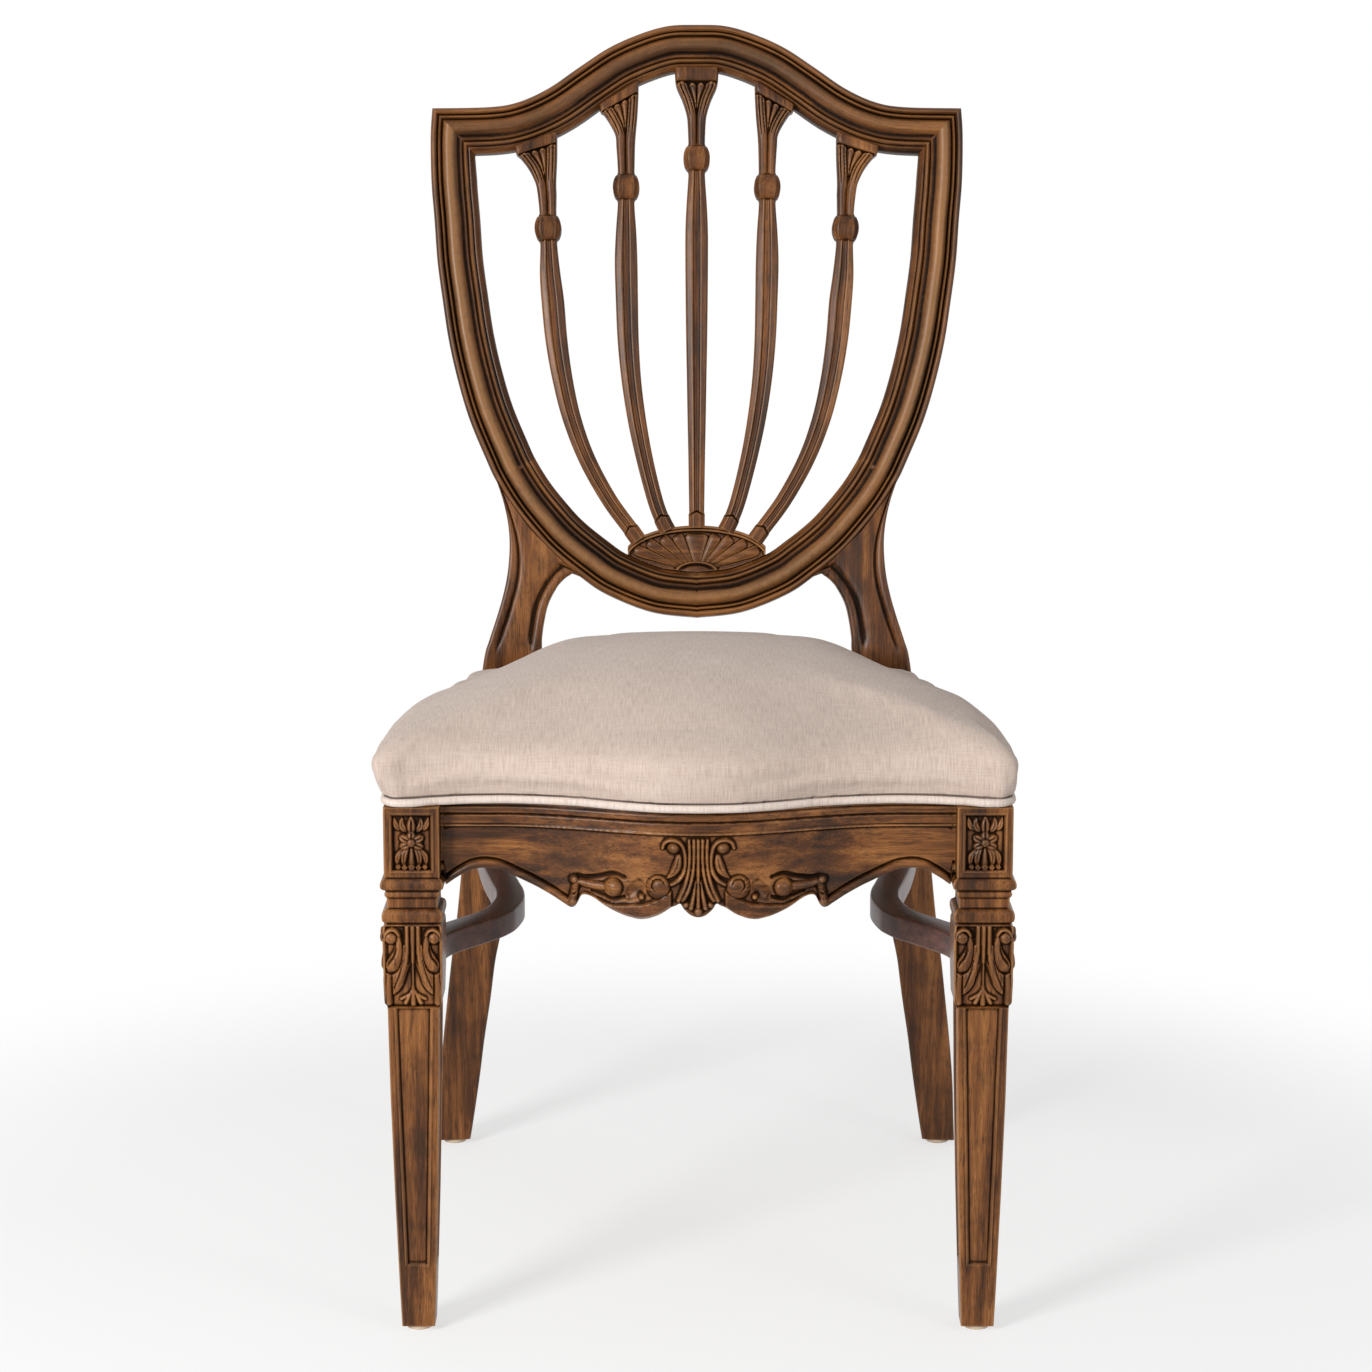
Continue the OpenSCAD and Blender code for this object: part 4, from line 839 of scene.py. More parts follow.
def stamped(name: str, pattern: bpy.types.Mesh, spots: Array, turns: Array,
            finish: bpy.types.Material, sizes: Optional[Array] = None,
            order: Sequence[int] = (0, 1, 2)) -> bpy.types.Object:
    """Sets a pattern on points by a geometry tree and makes it one piece.

    Args:
        name: The piece's name.
        pattern: The mesh that is repeated.
        spots: The places, in metres.
        turns: The turns, in radians.
        finish: The piece's material.
        sizes: Each pattern's scale along its own axes, where it has one.
        order: The grain's axes, as in grain_from_place.

    Returns:
        The piece.
    """
    start = bpy.data.meshes.new(f"{name}_spots")
    start.from_pydata(np.asarray(spots, float).tolist(), [], [])
    store(start, "turn", np.array(turns, float))
    tree = Tree(f"{name}_tree", {"Pattern": "NodeSocketObject", "Finish": "NodeSocketMaterial"})
    shape = tree.add("GeometryNodeObjectInfo", {}, {"Object": tree.given("Pattern")})
    spin = tree.add("FunctionNodeEulerToRotation", {}, {0: tree.attribute("turn")})
    inputs = {"Points": tree.source.outputs[0], "Instance": shape.outputs["Geometry"],
              "Rotation": spin.outputs[0]}
    if sizes is not None:
        store(start, "grow", sizes)
        inputs["Scale"] = tree.attribute("grow")
    tree.end(tree.add("GeometryNodeInstanceOnPoints", {}, inputs).outputs[0])
    holder = linked(f"{name}_pattern", pattern)
    mesh = tree.apply(name, start, {"Pattern": holder, "Finish": finish})
    bpy.data.objects.remove(holder)
    grain_from_place(mesh, order)
    return finished(name, mesh, finish, weather=False)


def grain_from_place(mesh: bpy.types.Mesh, order: Sequence[int] = (0, 1, 2)) -> None:
    """Gives a mesh in metres its own place as the wood's coordinates.

    Args:
        mesh: The mesh.
        order: Which axis goes to each of the pattern's; the last is the grain's length.
    """
    store(mesh, "grain", values_of(mesh.vertices, "co")[:, list(order)])


def wooden(name: str, points: Array, grain: Optional[Array], *nodes: str) -> bpy.types.Object:
    """Makes one closed walnut piece and fixes it to the chair.

    Args:
        name: The piece's name.
        points: Its rings of points.
        grain: The same for the wood's own coordinates; the points by default.
        nodes: The CAD nodes that it stands for.

    Returns:
        The piece.
    """
    body = Body(name)
    body.grid(points, grain)
    piece = body.build(WALNUT.make())
    settle(piece, "walnut", *nodes)
    return piece


def settle(piece: bpy.types.Object, slot: str, *nodes: str) -> None:
    """Fixes a finished piece to the chair.

    Args:
        piece: The piece.
        slot: The record's material slot; not used.
        nodes: The CAD nodes that it stands for.
    """
    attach(piece, "root")
    if nodes:
        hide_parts(*nodes)
    log.info("%s: %d points", piece.name, len(piece.data.vertices))


@dataclass(frozen=True)
class BackForm:
    """The curved, leaning face that every part of the back is drawn on."""

    seat_run: float = 400.0
    knee_z: float = 440.0
    knee_r: float = 25.0
    rake: float = 11.0
    bow: float = 14.0
    shield_half: float = 222.0
    shield_z: float = 480.0
    shield_h: float = 422.0
    crest_rise: float = 69.0
    member_w: float = 37.4
    member_t: float = 24.0

    def y(self, x: Array, z: Array) -> Array:
        """Depth of the face at X and height z."""
        lean = math.tan(math.radians(self.rake))
        return (self.seat_run + lean * np.sqrt((z - self.knee_z) ** 2 + self.knee_r**2)
                + self.bow * (0.5 - (x / self.shield_half) ** 2))

    def place(self, x: Array, z: Array, n: Array) -> Array:
        """Points n in front of the face, square to its lean.

        Args:
            x: Distance from the middle.
            z: Height on the face.
            n: Distance in front of the face.

        Returns:
            The points, in the drawing space.
        """
        x, z, n = np.broadcast_arrays(np.asarray(x, float), z, n)
        lean = np.radians(self.rake * np.clip((z - self.knee_z) / (self.shield_z - self.knee_z),
                                              0.0, 1.0))
        return xyz(x, self.y(x, z) - n * np.cos(lean), z + n * np.sin(lean))

    def band(self, outer: Array, inner: Array, shares: Array, n: Array) -> Array:
        """Rings of a member between two edges.

        Args:
            outer: Its outer edge in the face, one (x, z) row a ring.
            inner: Its inner edge.
            shares: Each section point's share of the way between them.
            n: Each section point's distance in front of the face, or one row a ring.

        Returns:
            The rings' points.
        """
        spot = blend(outer[:, None, :], inner[:, None, :], np.asarray(shares)[..., None])
        return self.place(spot[..., 0], spot[..., 1], np.asarray(n))


BACK = BackForm()
STEPS = 8

# The shield's outer edge: shares of its half width, and of the crest's rise or the side's height
CREST_SHARES = ((0, 1), (0.11, 0.985), (0.22, 0.885), (0.335, 0.72), (0.45, 0.48),
                (0.563, 0.235), (0.676, 0.072), (0.788, 0.012), (1, 0))
STILE_SHARES = ((1, 1), (1.006, 0.945), (1.003, 0.858), (0.991, 0.78), (0.98, 0.701),
                (0.96, 0.623), (0.937, 0.545), (0.903, 0.467), (0.858, 0.389),
                (0.795, 0.31), (0.759, 0.27))
BASE_SHARES = ((0.7, 0.22), (0.633, 0.175), (0.551, 0.128), (0.446, 0.083),
               (0.341, 0.046), (0.171, 0.011), (0, 0))
# Points down the side's edge to the scarf between stile and base, and to the post's inner end
JOINT = STEPS * (len(STILE_SHARES) - 1)
POST_END = round(0.83 * STEPS * (len(STILE_SHARES + BASE_SHARES) - 1))
# The moulding across a member, from its outer edge: distance in, and height over its back
MOULDING = (
    (0, 2.4), (0, 11), (0, 19.4), (0.25, 20.6), (0.7, 21.4), (1.3, 22), (2, 22.6), (2.8, 22.9),
    (3.6, 22.8), (4.3, 22.1), (4.8, 20.9), (5.2, 19.4), (5.6, 18.6), (6, 19.2), (6.5, 20.3),
    (7.1, 20.9), (7.7, 20.5), (8.2, 19.3), (8.7, 17.9), (9.2, 17.6), (9.7, 18.4), (10.3, 19.9),
    (11.2, 21.3), (12.4, 22.5), (13.9, 23.2), (15.6, 23.4), (17.3, 23.2), (18.9, 22.5),
    (20.2, 21.4), (21.3, 20.2), (22.4, 19.2), (23.6, 18.6), (24.8, 18.5), (25.8, 18.7),
    (26.5, 18.2), (27, 17.3), (27.5, 17.4), (28, 18.8), (28.6, 20.1), (29.4, 20.8), (30.2, 20.5),
    (30.9, 19.5), (31.4, 18.2), (31.9, 17.5), (32.5, 17.6), (33.1, 17.8), (33.8, 17.2),
    (34.6, 16.1), (35.6, 15), (36.6, 14.2), (37.2, 13.2), (37.4, 11.6),
    (37.4, 2.4), (36.7, 0.7), (35, 0), (28, 0), (19, 0), (9, 0), (2.4, 0), (0.7, 0.7))


def edges_of(path: Array) -> Array:
    """Each point's unit vector from a member's outer edge to its inner one."""
    t = headings(path)
    return np.column_stack([t[:, 1], -t[:, 0]])


@dataclass(frozen=True)
class Shield:
    """The moulded frame of the back: crest, two stiles and the base."""

    form: BackForm = BACK
    crest_mitre: int = STEPS
    stile_mitre: int = 2 * STEPS
    crown_at: float = 15.6
    crown_w: float = 4.6
    crown_back: float = -8.0

    def crest(self) -> Array:
        """Crest's outer edge from the left corner to the right one."""
        f = self.form
        half = np.array([(x * f.shield_half, f.shield_z + f.shield_h + z * f.crest_rise)
                         for x, z in CREST_SHARES])
        return spline(np.vstack([half[:0:-1] * [-1, 1], half]), STEPS)

    def side(self) -> Array:
        """Outer edge down the right side, from the corner to the foot's middle."""
        f = self.form
        return spline([(x * f.shield_half, f.shield_z + z * f.shield_h)
                       for x, z in STILE_SHARES + BASE_SHARES], STEPS)

    def inner(self) -> tuple[Array, Array]:
        """Inner edges of the crest and of the side, meeting at the mitres' ends."""
        crest, side, w = self.crest(), self.side(), self.form.member_w
        n_crest, n_side = edges_of(crest), edges_of(side)
        both = n_crest[-1] + n_side[0]
        corner = side[0] + w * both * 2 / (both @ both)
        crest_in, side_in = crest + w * n_crest, side + w * n_side
        k, m, last = self.crest_mitre, self.stile_mitre, len(crest) - 1
        far = lengths(crest)
        for i in range(k):
            share = far[i] / far[k]
            crest_in[last - i] = blend(corner, crest_in[last - k], share)
            crest_in[i] = crest_in[last - i] * [-1, 1]
        down = lengths(side)
        for i in range(m):
            side_in[i] = blend(corner, side_in[m], down[i] / down[m])
        side_in[-1] = side[-1] + [0, w]
        return crest_in, side_in

    def member(self, name: str, outer: Array, inner: Array, rubbed: float) -> None:
        """One moulded member between two edges.

        Args:
            name: The CAD node that it stands for.
            outer: Its outer edge.
            inner: Its inner edge.
            rubbed: How strongly a painted highlight lightens the broad band's crown.
        """
        section = np.array(MOULDING)
        n = section[:, 1] - self.form.member_t
        points = self.form.band(outer, inner, section[:, 0] / self.form.member_w, n)
        start = 40.0 * len(name)
        grain = xyz(section[:, 0] + start, n, lengths(blend(outer, inner, 0.5))[:, None])
        mesh = wooden(f"wood_{name}", points, grain, name).data
        spots = values_of(mesh.attributes["grain"].data, "vector") / MM
        wear = values_of(mesh.attributes["wear"].data, "value", 1)
        # Painted highlight: the broad band's crown is lightened, most on the stiles
        crown = rubbed * hump(spots[:, 0] - start - self.crown_at, self.crown_w)
        crown = crown * (spots[:, 1] > self.crown_back)
        store(mesh, "wear", np.maximum(wear, crown))

    def build(self) -> None:
        """Makes the four members."""
        crest, side = self.crest(), self.side()
        crest_in, side_in = self.inner()
        self.member("crest_rail", crest, crest_in, 0.4)
        for s in Side:
            flip = np.array([s.value, 1.0])
            self.member(f"shield_stile_{s.word}", side[:JOINT + 1] * flip,
                        side_in[:JOINT + 1] * flip, 1.3)
        flip = np.array([-1.0, 1.0])
        base, base_in = (np.vstack([edge[JOINT:], edge[-2:JOINT - 1:-1] * flip])
                         for edge in (side, side_in))
        self.member("shield_base_rail", base, base_in, 1.0)


SHIELD = Shield()


# The fan's petals on one side of its middle one: the angles of their edges, from upright
PETAL_EDGES = (19.0, 37.0, 52.0, 64.0, 75.0)
# A petal from its root to its tip: shares of its length, width and thickness
PETAL_ROWS = ((0, 0.28, 0.5), (0.1, 0.36, 0.56), (0.25, 0.48, 0.64), (0.45, 0.64, 0.74),
              (0.65, 0.8, 0.86), (0.8, 0.92, 0.98), (0.88, 0.93, 1), (0.94, 0.82, 0.86),
              (0.98, 0.6, 0.6), (1, 0.25, 0.25))


@dataclass(frozen=True)
class Fan:
    """The carved half-round shell that the splats spring from."""

    form: BackForm = BACK
    half: float = 61.0
    base_z: float = 531.0
    rise_h: float = 25.0
    thick: float = 18.0
    front: float = -3.6
    rim: float = 4.7
    field: float = 4.2
    boss_half: float = 19.0
    boss_h: float = 9.2
    petal_t: float = 7.2
    petal_near: float = 6.0
    petal_far: float = 60.0
    petal_side: float = 54.0
    plate_half: float = 58.0

    def arc(self, x: Array) -> Array:
        """Height of the fan's edge at X."""
        return self.base_z + self.rise_h * dome(x / self.half)

    def plate(self) -> None:
        """The body with its double rim, hollow field and boss."""
        _, side_in = SHIELD.inner()
        low = side_in[:JOINT:-1]
        x = self.plate_half * np.sin(np.radians(np.linspace(-90.0, 90.0, 181)))
        top = self.arc(x)
        foot = np.interp(np.abs(x), low[:, 0], low[:, 1]) + 0.25
        rows = np.linspace(0.0, 1.0, 97)
        spots_z = blend(foot[None, :], top[None, :], rows[:, None])
        spots_x = np.broadcast_to(x, spots_z.shape)
        hub_z = self.form.shield_z + self.form.member_w
        slope = np.hypot(1.0, np.gradient(top, x))[None, :]
        edge = np.minimum((top[None, :] - spots_z) / slope, self.plate_half - np.abs(spots_x) + 3.0)
        height = -0.5 - (self.field - 0.5) * rise(edge, self.rim - 0.6, self.rim + 0.5)
        for middle, wide, high in ((1.3, 1.3, 1.5), (3.6, 1.0, 1.0)):
            bead = dome((edge - middle) / wide)
            height = np.maximum(height, np.where(bead > 0, high * bead - 0.5, -9.0))
        far = np.hypot(spots_x / self.boss_half, (spots_z - hub_z) / self.boss_h)
        ring = dome((far - 0.89) / 0.11)
        boss = dome(far / 0.62)
        height = np.where(far < 1.0, -self.field + np.maximum(3.4 * ring, 1.9 * boss), height)
        front = self.form.place(spots_x, spots_z, self.front + height)
        back = self.form.place(x, top, self.front - self.thick)[None]
        back_low = self.form.place(x, foot, self.front - self.thick)[None]
        grid = np.swapaxes(np.concatenate([front, back, back_low]), 0, 1)
        wooden("wood_fan_block", grid, grid[..., [1, 2, 0]] + [900.0, 0.0, 0.0], "fan_block")

    def petal(self) -> bpy.types.Mesh:
        """One round-ended petal, a metre long with its root at the origin, up +Z."""
        rows, wide, thick = np.array(PETAL_ROWS).T
        turns = np.radians(np.linspace(0, 360, 37)[:-1])
        points = xyz(wide[:, None] * np.cos(turns) * 0.5, thick[:, None] * np.sin(turns) * 0.5,
                     rows[:, None])
        body = Body("petal")
        body.grid(points)
        mesh = body.mesh(back=0.0, scale=1.0)
        beside = np.abs(np.cos(turns))[None, :]
        ends = np.maximum(1 - rise(rows, 0.0, 0.14), rise(rows, 0.93, 0.99))[:, None]
        # Painted shade along the petals' sides and ends, where they meet their neighbours and the
        # field
        glaze = np.maximum(rise(beside, 0.72, 0.93), 0.8 * ends)
        # Painted highlight: a light line along each petal's rounded edge
        wear = 0.8 * rise(beside, 0.5, 0.75) * (1 - rise(beside, 0.75, 0.9)) * (1 - ends)
        store(mesh, "glaze", glaze.ravel())
        store(mesh, "wear", wear.ravel())
        return mesh

    def fan_out(self) -> bpy.types.Object:
        """The petals, set round the boss by a geometry tree.

        Returns:
            The piece.
        """
        hub_z = self.form.shield_z + self.form.member_w - 0.5
        sides = np.radians(PETAL_EDGES)
        edges = np.concatenate([-sides[::-1], sides])
        turns, gaps = (edges[1:] + edges[:-1]) / 2, np.diff(edges)
        heads = np.column_stack([np.sin(turns), np.cos(turns)])
        spots, sizes = [], []
        for head in heads:
            run = np.linspace(self.petal_near, self.petal_far, 400)
            trail = np.array([0.0, hub_z]) + run[:, None] * head
            inside = trail[:, 1] < self.arc(trail[:, 0]) - self.rim - 1.0
            inside &= np.abs(trail[:, 0]) < self.petal_side
            out = run[inside].max()
            root = 0.9 / np.hypot(head[0] / self.boss_half, head[1] / self.boss_h)
            spots.append(np.array([0.0, hub_z]) + head * root)
            sizes.append(out - root)
        spots = np.array(spots)
        places = self.form.place(spots[:, 0], spots[:, 1], self.front - self.field)
        far = np.hypot(spots[:, 0], spots[:, 1] - hub_z) + np.array(sizes)
        across = 2.0 * far * np.tan(gaps / 2) * 1.02
        lean = Matrix.Rotation(-math.radians(self.form.rake), 3, "X")
        tips = [(lean @ Matrix.Rotation(angle, 3, "Y")).to_euler() for angle in turns]
        grow = xyz(across, self.petal_t, sizes) * MM
        return stamped("carved_fan_petals", self.petal(), (places + [0, SET_BACK, 0]) * MM, tips,
                       WALNUT.make(), grow, (1, 2, 0))

    def build(self) -> None:
        """Makes the fan."""
        self.plate()
        settle(self.fan_out(), "walnut")


FAN = Fan()

# Splats, one row a ring: shares of the shield's half width, of the run from the fan to the
# capital, and of the neck's width
SPLAT_ROWS = (
    ((0, 0.015, 0.9), (0, 0.066, 0.93), (0, 0.164, 1), (0, 0.263, 1.1), (0, 0.362, 1.18),
     (0, 0.46, 1.27), (0, 0.559, 1.33), (0, 0.658, 1.37), (0, 0.729, 1.36), (0, 0.795, 1.22),
     (0, 0.864, 1), (0, 0.909, 1), (0, 0.953, 1), (0, 0.992, 1.07)),
    ((0.131, 0.023, 0.9), (0.159, 0.076, 0.93), (0.197, 0.178, 1), (0.227, 0.281, 1.1),
     (0.248, 0.384, 1.18), (0.26, 0.487, 1.27), (0.265, 0.59, 1.33), (0.268, 0.69, 1.36),
     (0.268, 0.768, 1.22), (0.268, 0.836, 1), (0.268, 0.883, 1), (0.268, 0.93, 1),
     (0.27, 0.992, 1.12)),
    ((0.253, 0.03, 0.9), (0.333, 0.114, 0.93), (0.415, 0.228, 1), (0.472, 0.343, 1.1),
     (0.508, 0.457, 1.2), (0.532, 0.572, 1.3), (0.546, 0.686, 1.34), (0.556, 0.762, 1.22),
     (0.561, 0.842, 1), (0.564, 0.894, 1), (0.565, 0.946, 1), (0.568, 0.995, 1.12)))
# Capitals at five levels: left edge and its drop below the crest, right edge and its drop
CAPITAL_ROWS = (
    ((-0.038, 0.85, 0.038, 0.85), (-0.054, 0.58, 0.054, 0.58), (-0.075, 0.33, 0.075, 0.33),
     (-0.082, 0.15, 0.082, 0.15), (-0.082, -0.06, 0.082, -0.06)),
    ((0.232, 0.94, 0.309, 0.72), (0.226, 0.62, 0.327, 0.46), (0.222, 0.28, 0.352, 0.18),
     (0.221, 0.13, 0.365, 0.09), (0.221, -0.06, 0.37, -0.06)),
    ((0.534, 0.88, 0.612, 0.74), (0.531, 0.52, 0.635, 0.45), (0.53, 0.25, 0.665, 0.2),
     (0.53, 0.12, 0.684, 0.09), (0.53, -0.06, 0.689, -0.06)))
FOOT_SHARES = (0.0, 0.113, 0.225)
BEAD_ROWS = (11, 10, 9)
# A splat's rear, from its right edge to its left: share of the width, height over the back
SPLAT_REAR = ((1, 3), (0.985, 1.2), (0.93, 0.2), (0.82, 0), (0.5, 0), (0.18, 0), (0.07, 0.2),
              (0.015, 1.2), (0, 3))
# The facets below the bead: share of the half width, height
SPLAT_BAR = ((0, 2.9), (0.28, 3.1), (0.4, 3.7), (0.48, 3.6), (0.84, 2.3), (0.96, 1.4), (1, 0.4))
# A quarter of the bead's plan, and its lower half's profile, as shares of its half sizes
BEAD_CORNERS = ((0.6, 1.1), (1, 0.7))
BEAD_PROFILE = ((-1.16, 0.6), (-1.12, 0.66), (-1.06, 0.62), (-1.0, 0.68), (-0.95, 0.75),
                (-0.86, 0.81), (-0.72, 0.87), (-0.55, 0.925), (-0.38, 0.963), (-0.2, 0.988),
                (0, 0.997))


@dataclass(frozen=True)
class Splat:
    """One splat with its gabled foot block, faceted bead and leaf-carved capital."""

    kind: int
    form: BackForm = BACK
    neck: float = 14.0
    thick: float = 17.0
    sink: float = 1.5
    capital_h: float = 43.0
    foot_h: float = 13.5
    foot_run: float = 18.0
    bead_half: float = 11.2
    bead_h: float = 20.0
    reed_h: float = 3.7

    def crest_z(self, x: Array) -> Array:
        """Height of the crest's lower edge at X."""
        crest_in, _ = SHIELD.inner()
        order = np.argsort(crest_in[:, 0])
        return np.interp(x, crest_in[order, 0], crest_in[order, 1])

    def path(self) -> Array:
        """The splat's middle line in the face, one row a ring of its table."""
        rows = np.array(SPLAT_ROWS[self.kind])
        half = self.form.shield_half
        low = FAN.arc(np.array(FOOT_SHARES[self.kind] * half))
        high = self.crest_z(rows[-1, 0] * half) - self.capital_h
        return np.column_stack([rows[:, 0] * half, blend(low, high, rows[:, 1])])

    def edges(self) -> tuple[Array, Array, Array]:
        """Left and right edges from the foot to the crest.

        Returns:
            The two edges, and at each ring how far it is into the capital.
        """
        half = self.form.shield_half
        path = self.path()
        rows = np.array(SPLAT_ROWS[self.kind])
        foot = np.array([FOOT_SHARES[self.kind] * half, 0.0])
        foot[1] = FAN.arc(foot[0])
        head = unit(path[1] - foot)
        start = foot - 2.0 * head
        middle = spline(np.vstack([start, path]), STEPS)
        wide = spline(np.column_stack([np.append(0.9, rows[:, 2]), np.zeros(len(rows) + 1)]),
                      STEPS)[:, 0] * self.neck / 2
        side = edges_of(middle)
        left, right = middle - side * wide[:, None], middle + side * wide[:, None]
        caps = np.array(CAPITAL_ROWS[self.kind])
        lefts = np.column_stack([caps[:, 0] * half, caps[:, 1] * self.capital_h])
        rights = np.column_stack([caps[:, 2] * half, caps[:, 3] * self.capital_h])
        for drops in (lefts, rights):
            drops[:, 1] = self.crest_z(drops[:, 0]) - drops[:, 1]
        ends = [left[-1:], right[-1:]]
        tops = [spline(np.vstack([e, d]), 12)[1:] for e, d in zip(ends, (lefts, rights))]
        into = np.concatenate([np.zeros(len(left)), np.linspace(0, 1, len(tops[0]) + 1)[1:]])
        return self.refined(np.vstack([left, tops[0]]), np.vstack([right, tops[1]]), into)

    def refined(self, left: Array, right: Array, into: Array) -> tuple[Array, Array, Array]:
        """The edges with closer rings on the foot block and the capital."""
        run = lengths(blend(left, right, 0.5))
        collar = run[np.argmax(into > 0) - 1]
        at = np.concatenate([np.arange(0.0, self.foot_run, 0.6),
                             np.arange(self.foot_run, collar, 2.4),
                             np.arange(collar, run[-1], 0.55), run[-1:]])
        both = np.column_stack([left, right, into])
        fine = np.column_stack([np.interp(at, run, column) for column in both.T])
        return fine[:, :2], fine[:, 2:4], fine[:, 4]

    def height(self, s: Array, into: Array, run: Array, bead_at: float) -> Array:
        """Relief of the front over the splat's edges, in millimetres.

        Args:
            s: Share of the width, from left to right.
            into: How far each ring is into the capital.
            run: Length from the foot at each ring.
            bead_at: Length from the foot to the bead's middle.

        Returns:
            The height at each ring and share.
        """
        a = np.abs(s[None, :] - 0.5) * 2.0
        i, far = into[:, None], run[:, None]
        # Three facets below the bead, the middle one hollow; two parted reeds above it
        bar = np.interp(a, *np.array(SPLAT_BAR).T)
        reeds = self.reed_h * dome((a - 0.5) / 0.5)
        shaft = blend(bar, reeds, rise(far, bead_at - 6.0, bead_at + 6.0))
        # Two narrow lobes between two wide ones, growing from the middle groove
        b = np.maximum(0.42 * rise(i, 0.1, 0.66), 1e-3)
        off = np.where(a < b, a / b * 2 - 1, (a - b) / (1 - b) * 2 - 1)
        lobe = dome(off)
        tip = 0.715 - 0.08 * off**2 - 0.03 * (a < b)
        leaf = 0.9 * rise(i, 0.0, 0.5) + (self.reed_h + 0.6 * rise(i, 0.3, 0.65)) * lobe
        leaf = leaf + 0.8 * lobe * hump(i - tip + 0.045, 0.03)
        for vein, deep in ((0.3, 1.3), (-0.45, 0.9)):
            leaf = leaf - deep * hump(off - vein, 0.13) * (a > b) * rise(i, 0.1, 0.4)
        leaf = np.where(i < tip, leaf, 0.3)
        bulge = dome((i - 0.86) / 0.13)
        abacus = (3.4 + 2.2 * bulge) * np.clip(1 - a**14, 0, 1) ** 0.5
        cap = np.where(i < 0.735, leaf, abacus)
        out = blend(shaft, cap, rise(i, 0.0, 0.1))
        # Foot block: chamfered, with a gabled top
        gable = self.foot_h - 3.5 * a
        near = np.clip(gable - far, 0, 1) ** 0.5
        block = (5.0 - 3.0 * np.clip((a - 0.45) / 0.55, 0, 1)) * near
        nick = 0.9 * hump(far - gable - 0.6, 0.6)
        return np.where(far < gable, np.maximum(block, bar * (1 - near)), out - nick)

    def build(self, s: Optional[Side] = None) -> None:
        """Makes the splat.

        Args:
            s: The side it stands on; the middle one has none.
        """
        left, right, into = self.edges()
        run = lengths(blend(left, right, 0.5))
        wide = np.linalg.norm(right - left, axis=1)
        share = np.linspace(0, 1, 57)
        share = 0.35 * (1 - np.cos(share * math.pi)) / 2 + 0.65 * share
        spot = self.path()[BEAD_ROWS[self.kind]]
        bead_at = run[np.argmin(np.linalg.norm(blend(left, right, 0.5) - spot, axis=1))]
        height = self.height(share, into, run, bead_at)
        swell = 1.0 + 0.08 * rise(self.foot_h - 1.0 - run, 0.0, 1.4)[:, None]
        rear = np.array(SPLAT_REAR)
        around = np.concatenate([(share - 0.5) * swell + 0.5,
                                 (rear[:, 0] - 0.5) * swell + 0.5], axis=1)
        depth = np.concatenate([height - self.sink - 3.2, np.broadcast_to(
            rear[:, 1] - self.sink - self.thick, (len(run), len(rear)))], axis=1)
        flip = 1.0 if s is None or s is Side.RIGHT else -1.0
        points = self.form.band(left, right, around, depth)
        grain = xyz(around * wide[:, None] + 70.0 * self.kind + 20.0 * flip, depth, run[:, None])
        points = points * [flip, 1, 1]
        name = ("splat_centre", "splat_inner_", "splat_outer_")[self.kind] + (s.word if s else "")
        body = Body(f"wood_{name}")
        body.grid(points, grain)
        self.bead(body, flip)
        settle(body.build(WALNUT.make()), "walnut", name)

    def bead(self, body: Body, flip: float) -> None:
        """The eight-sided bead round the shaft, widest at a crease in its middle.

        Args:
            body: The splat's mesh.
            flip: -1 for a splat on the left.
        """
        path = self.path()
        row = BEAD_ROWS[self.kind]
        spot, head = path[row], unit(path[row + 1] - path[row - 1])
        side = np.array([head[1], -head[0]])
        corners = np.array([(sx * x, sy * y) for sx, sy, order in (
            (1, 1, 1), (1, -1, -1), (-1, -1, 1), (-1, 1, -1))
            for x, y in BEAD_CORNERS[::order]]) * self.bead_half
        ring = []
        for before, here, after in zip(np.roll(corners, 1, axis=0), corners,
                                       np.roll(corners, -1, axis=0)):
            ring += [here + unit(before - here) * step for step in (2.4, 0.9, 0.3)]
            ring += [here + unit(after - here) * step for step in (0.3, 0.9, 2.4)]
        ring = np.array(ring)
        half = np.array(BEAD_PROFILE)
        profile = np.vstack([half, half[-2::-1] * [-1, 1]])
        up = profile[:, :1] * self.bead_h / 2
        across = profile[:, 1:] * ring[:, 0]
        deep = profile[:, 1:] * ring[:, 1]
        x = spot[0] + head[0] * up + side[0] * across
        z = spot[1] + head[1] * up + side[1] * across
        points = self.form.place(x, z, deep - self.sink - self.thick / 2 + 1.0) * [flip, 1, 1]
        body.grid(points, points + [300.0 * flip, 0, 0])


# Below the knee: shares of the shield's half width to the outer and inner edges, share of
# the knee's height, share of the leg's thickness
LEG_ROWS = (
    (1.023, 0.896, 0.01, 0.8), (1.018, 0.882, 0.052, 0.82), (1.009, 0.855, 0.141, 0.85),
    (0.993, 0.832, 0.227, 0.88), (0.973, 0.805, 0.314, 0.91), (0.953, 0.782, 0.398, 0.94),
    (0.929, 0.747, 0.484, 0.96), (0.91, 0.729, 0.568, 0.98), (0.887, 0.7, 0.682, 1),
    (0.86, 0.669, 0.795, 1), (0.831, 0.63, 0.909, 1))
# Above it: outer edge, inner edge and thickness, by the rise to the shield's joint
POST_ROWS = (
    (0.804, 0.039, 0.59, 0.039, 0.97), (0.784, 0.143, 0.586, 0.143, 0.92),
    (0.759, 0.253, 0.577, 0.245, 0.87), (0.737, 0.357, 0.561, 0.34, 0.82),
    (0.719, 0.468, 0.53, 0.425, 0.77), (0.71, 0.571, 0.508, 0.462, 0.77),
    (0.708, 0.68, 0.492, 0.48, 0.77), (0.716, 0.786, 0.48, 0.489, 0.77),
    (0.734, 0.896, 0.47, 0.495, 0.77), (0.759, 1, 0.46, 0.5, 0.77))
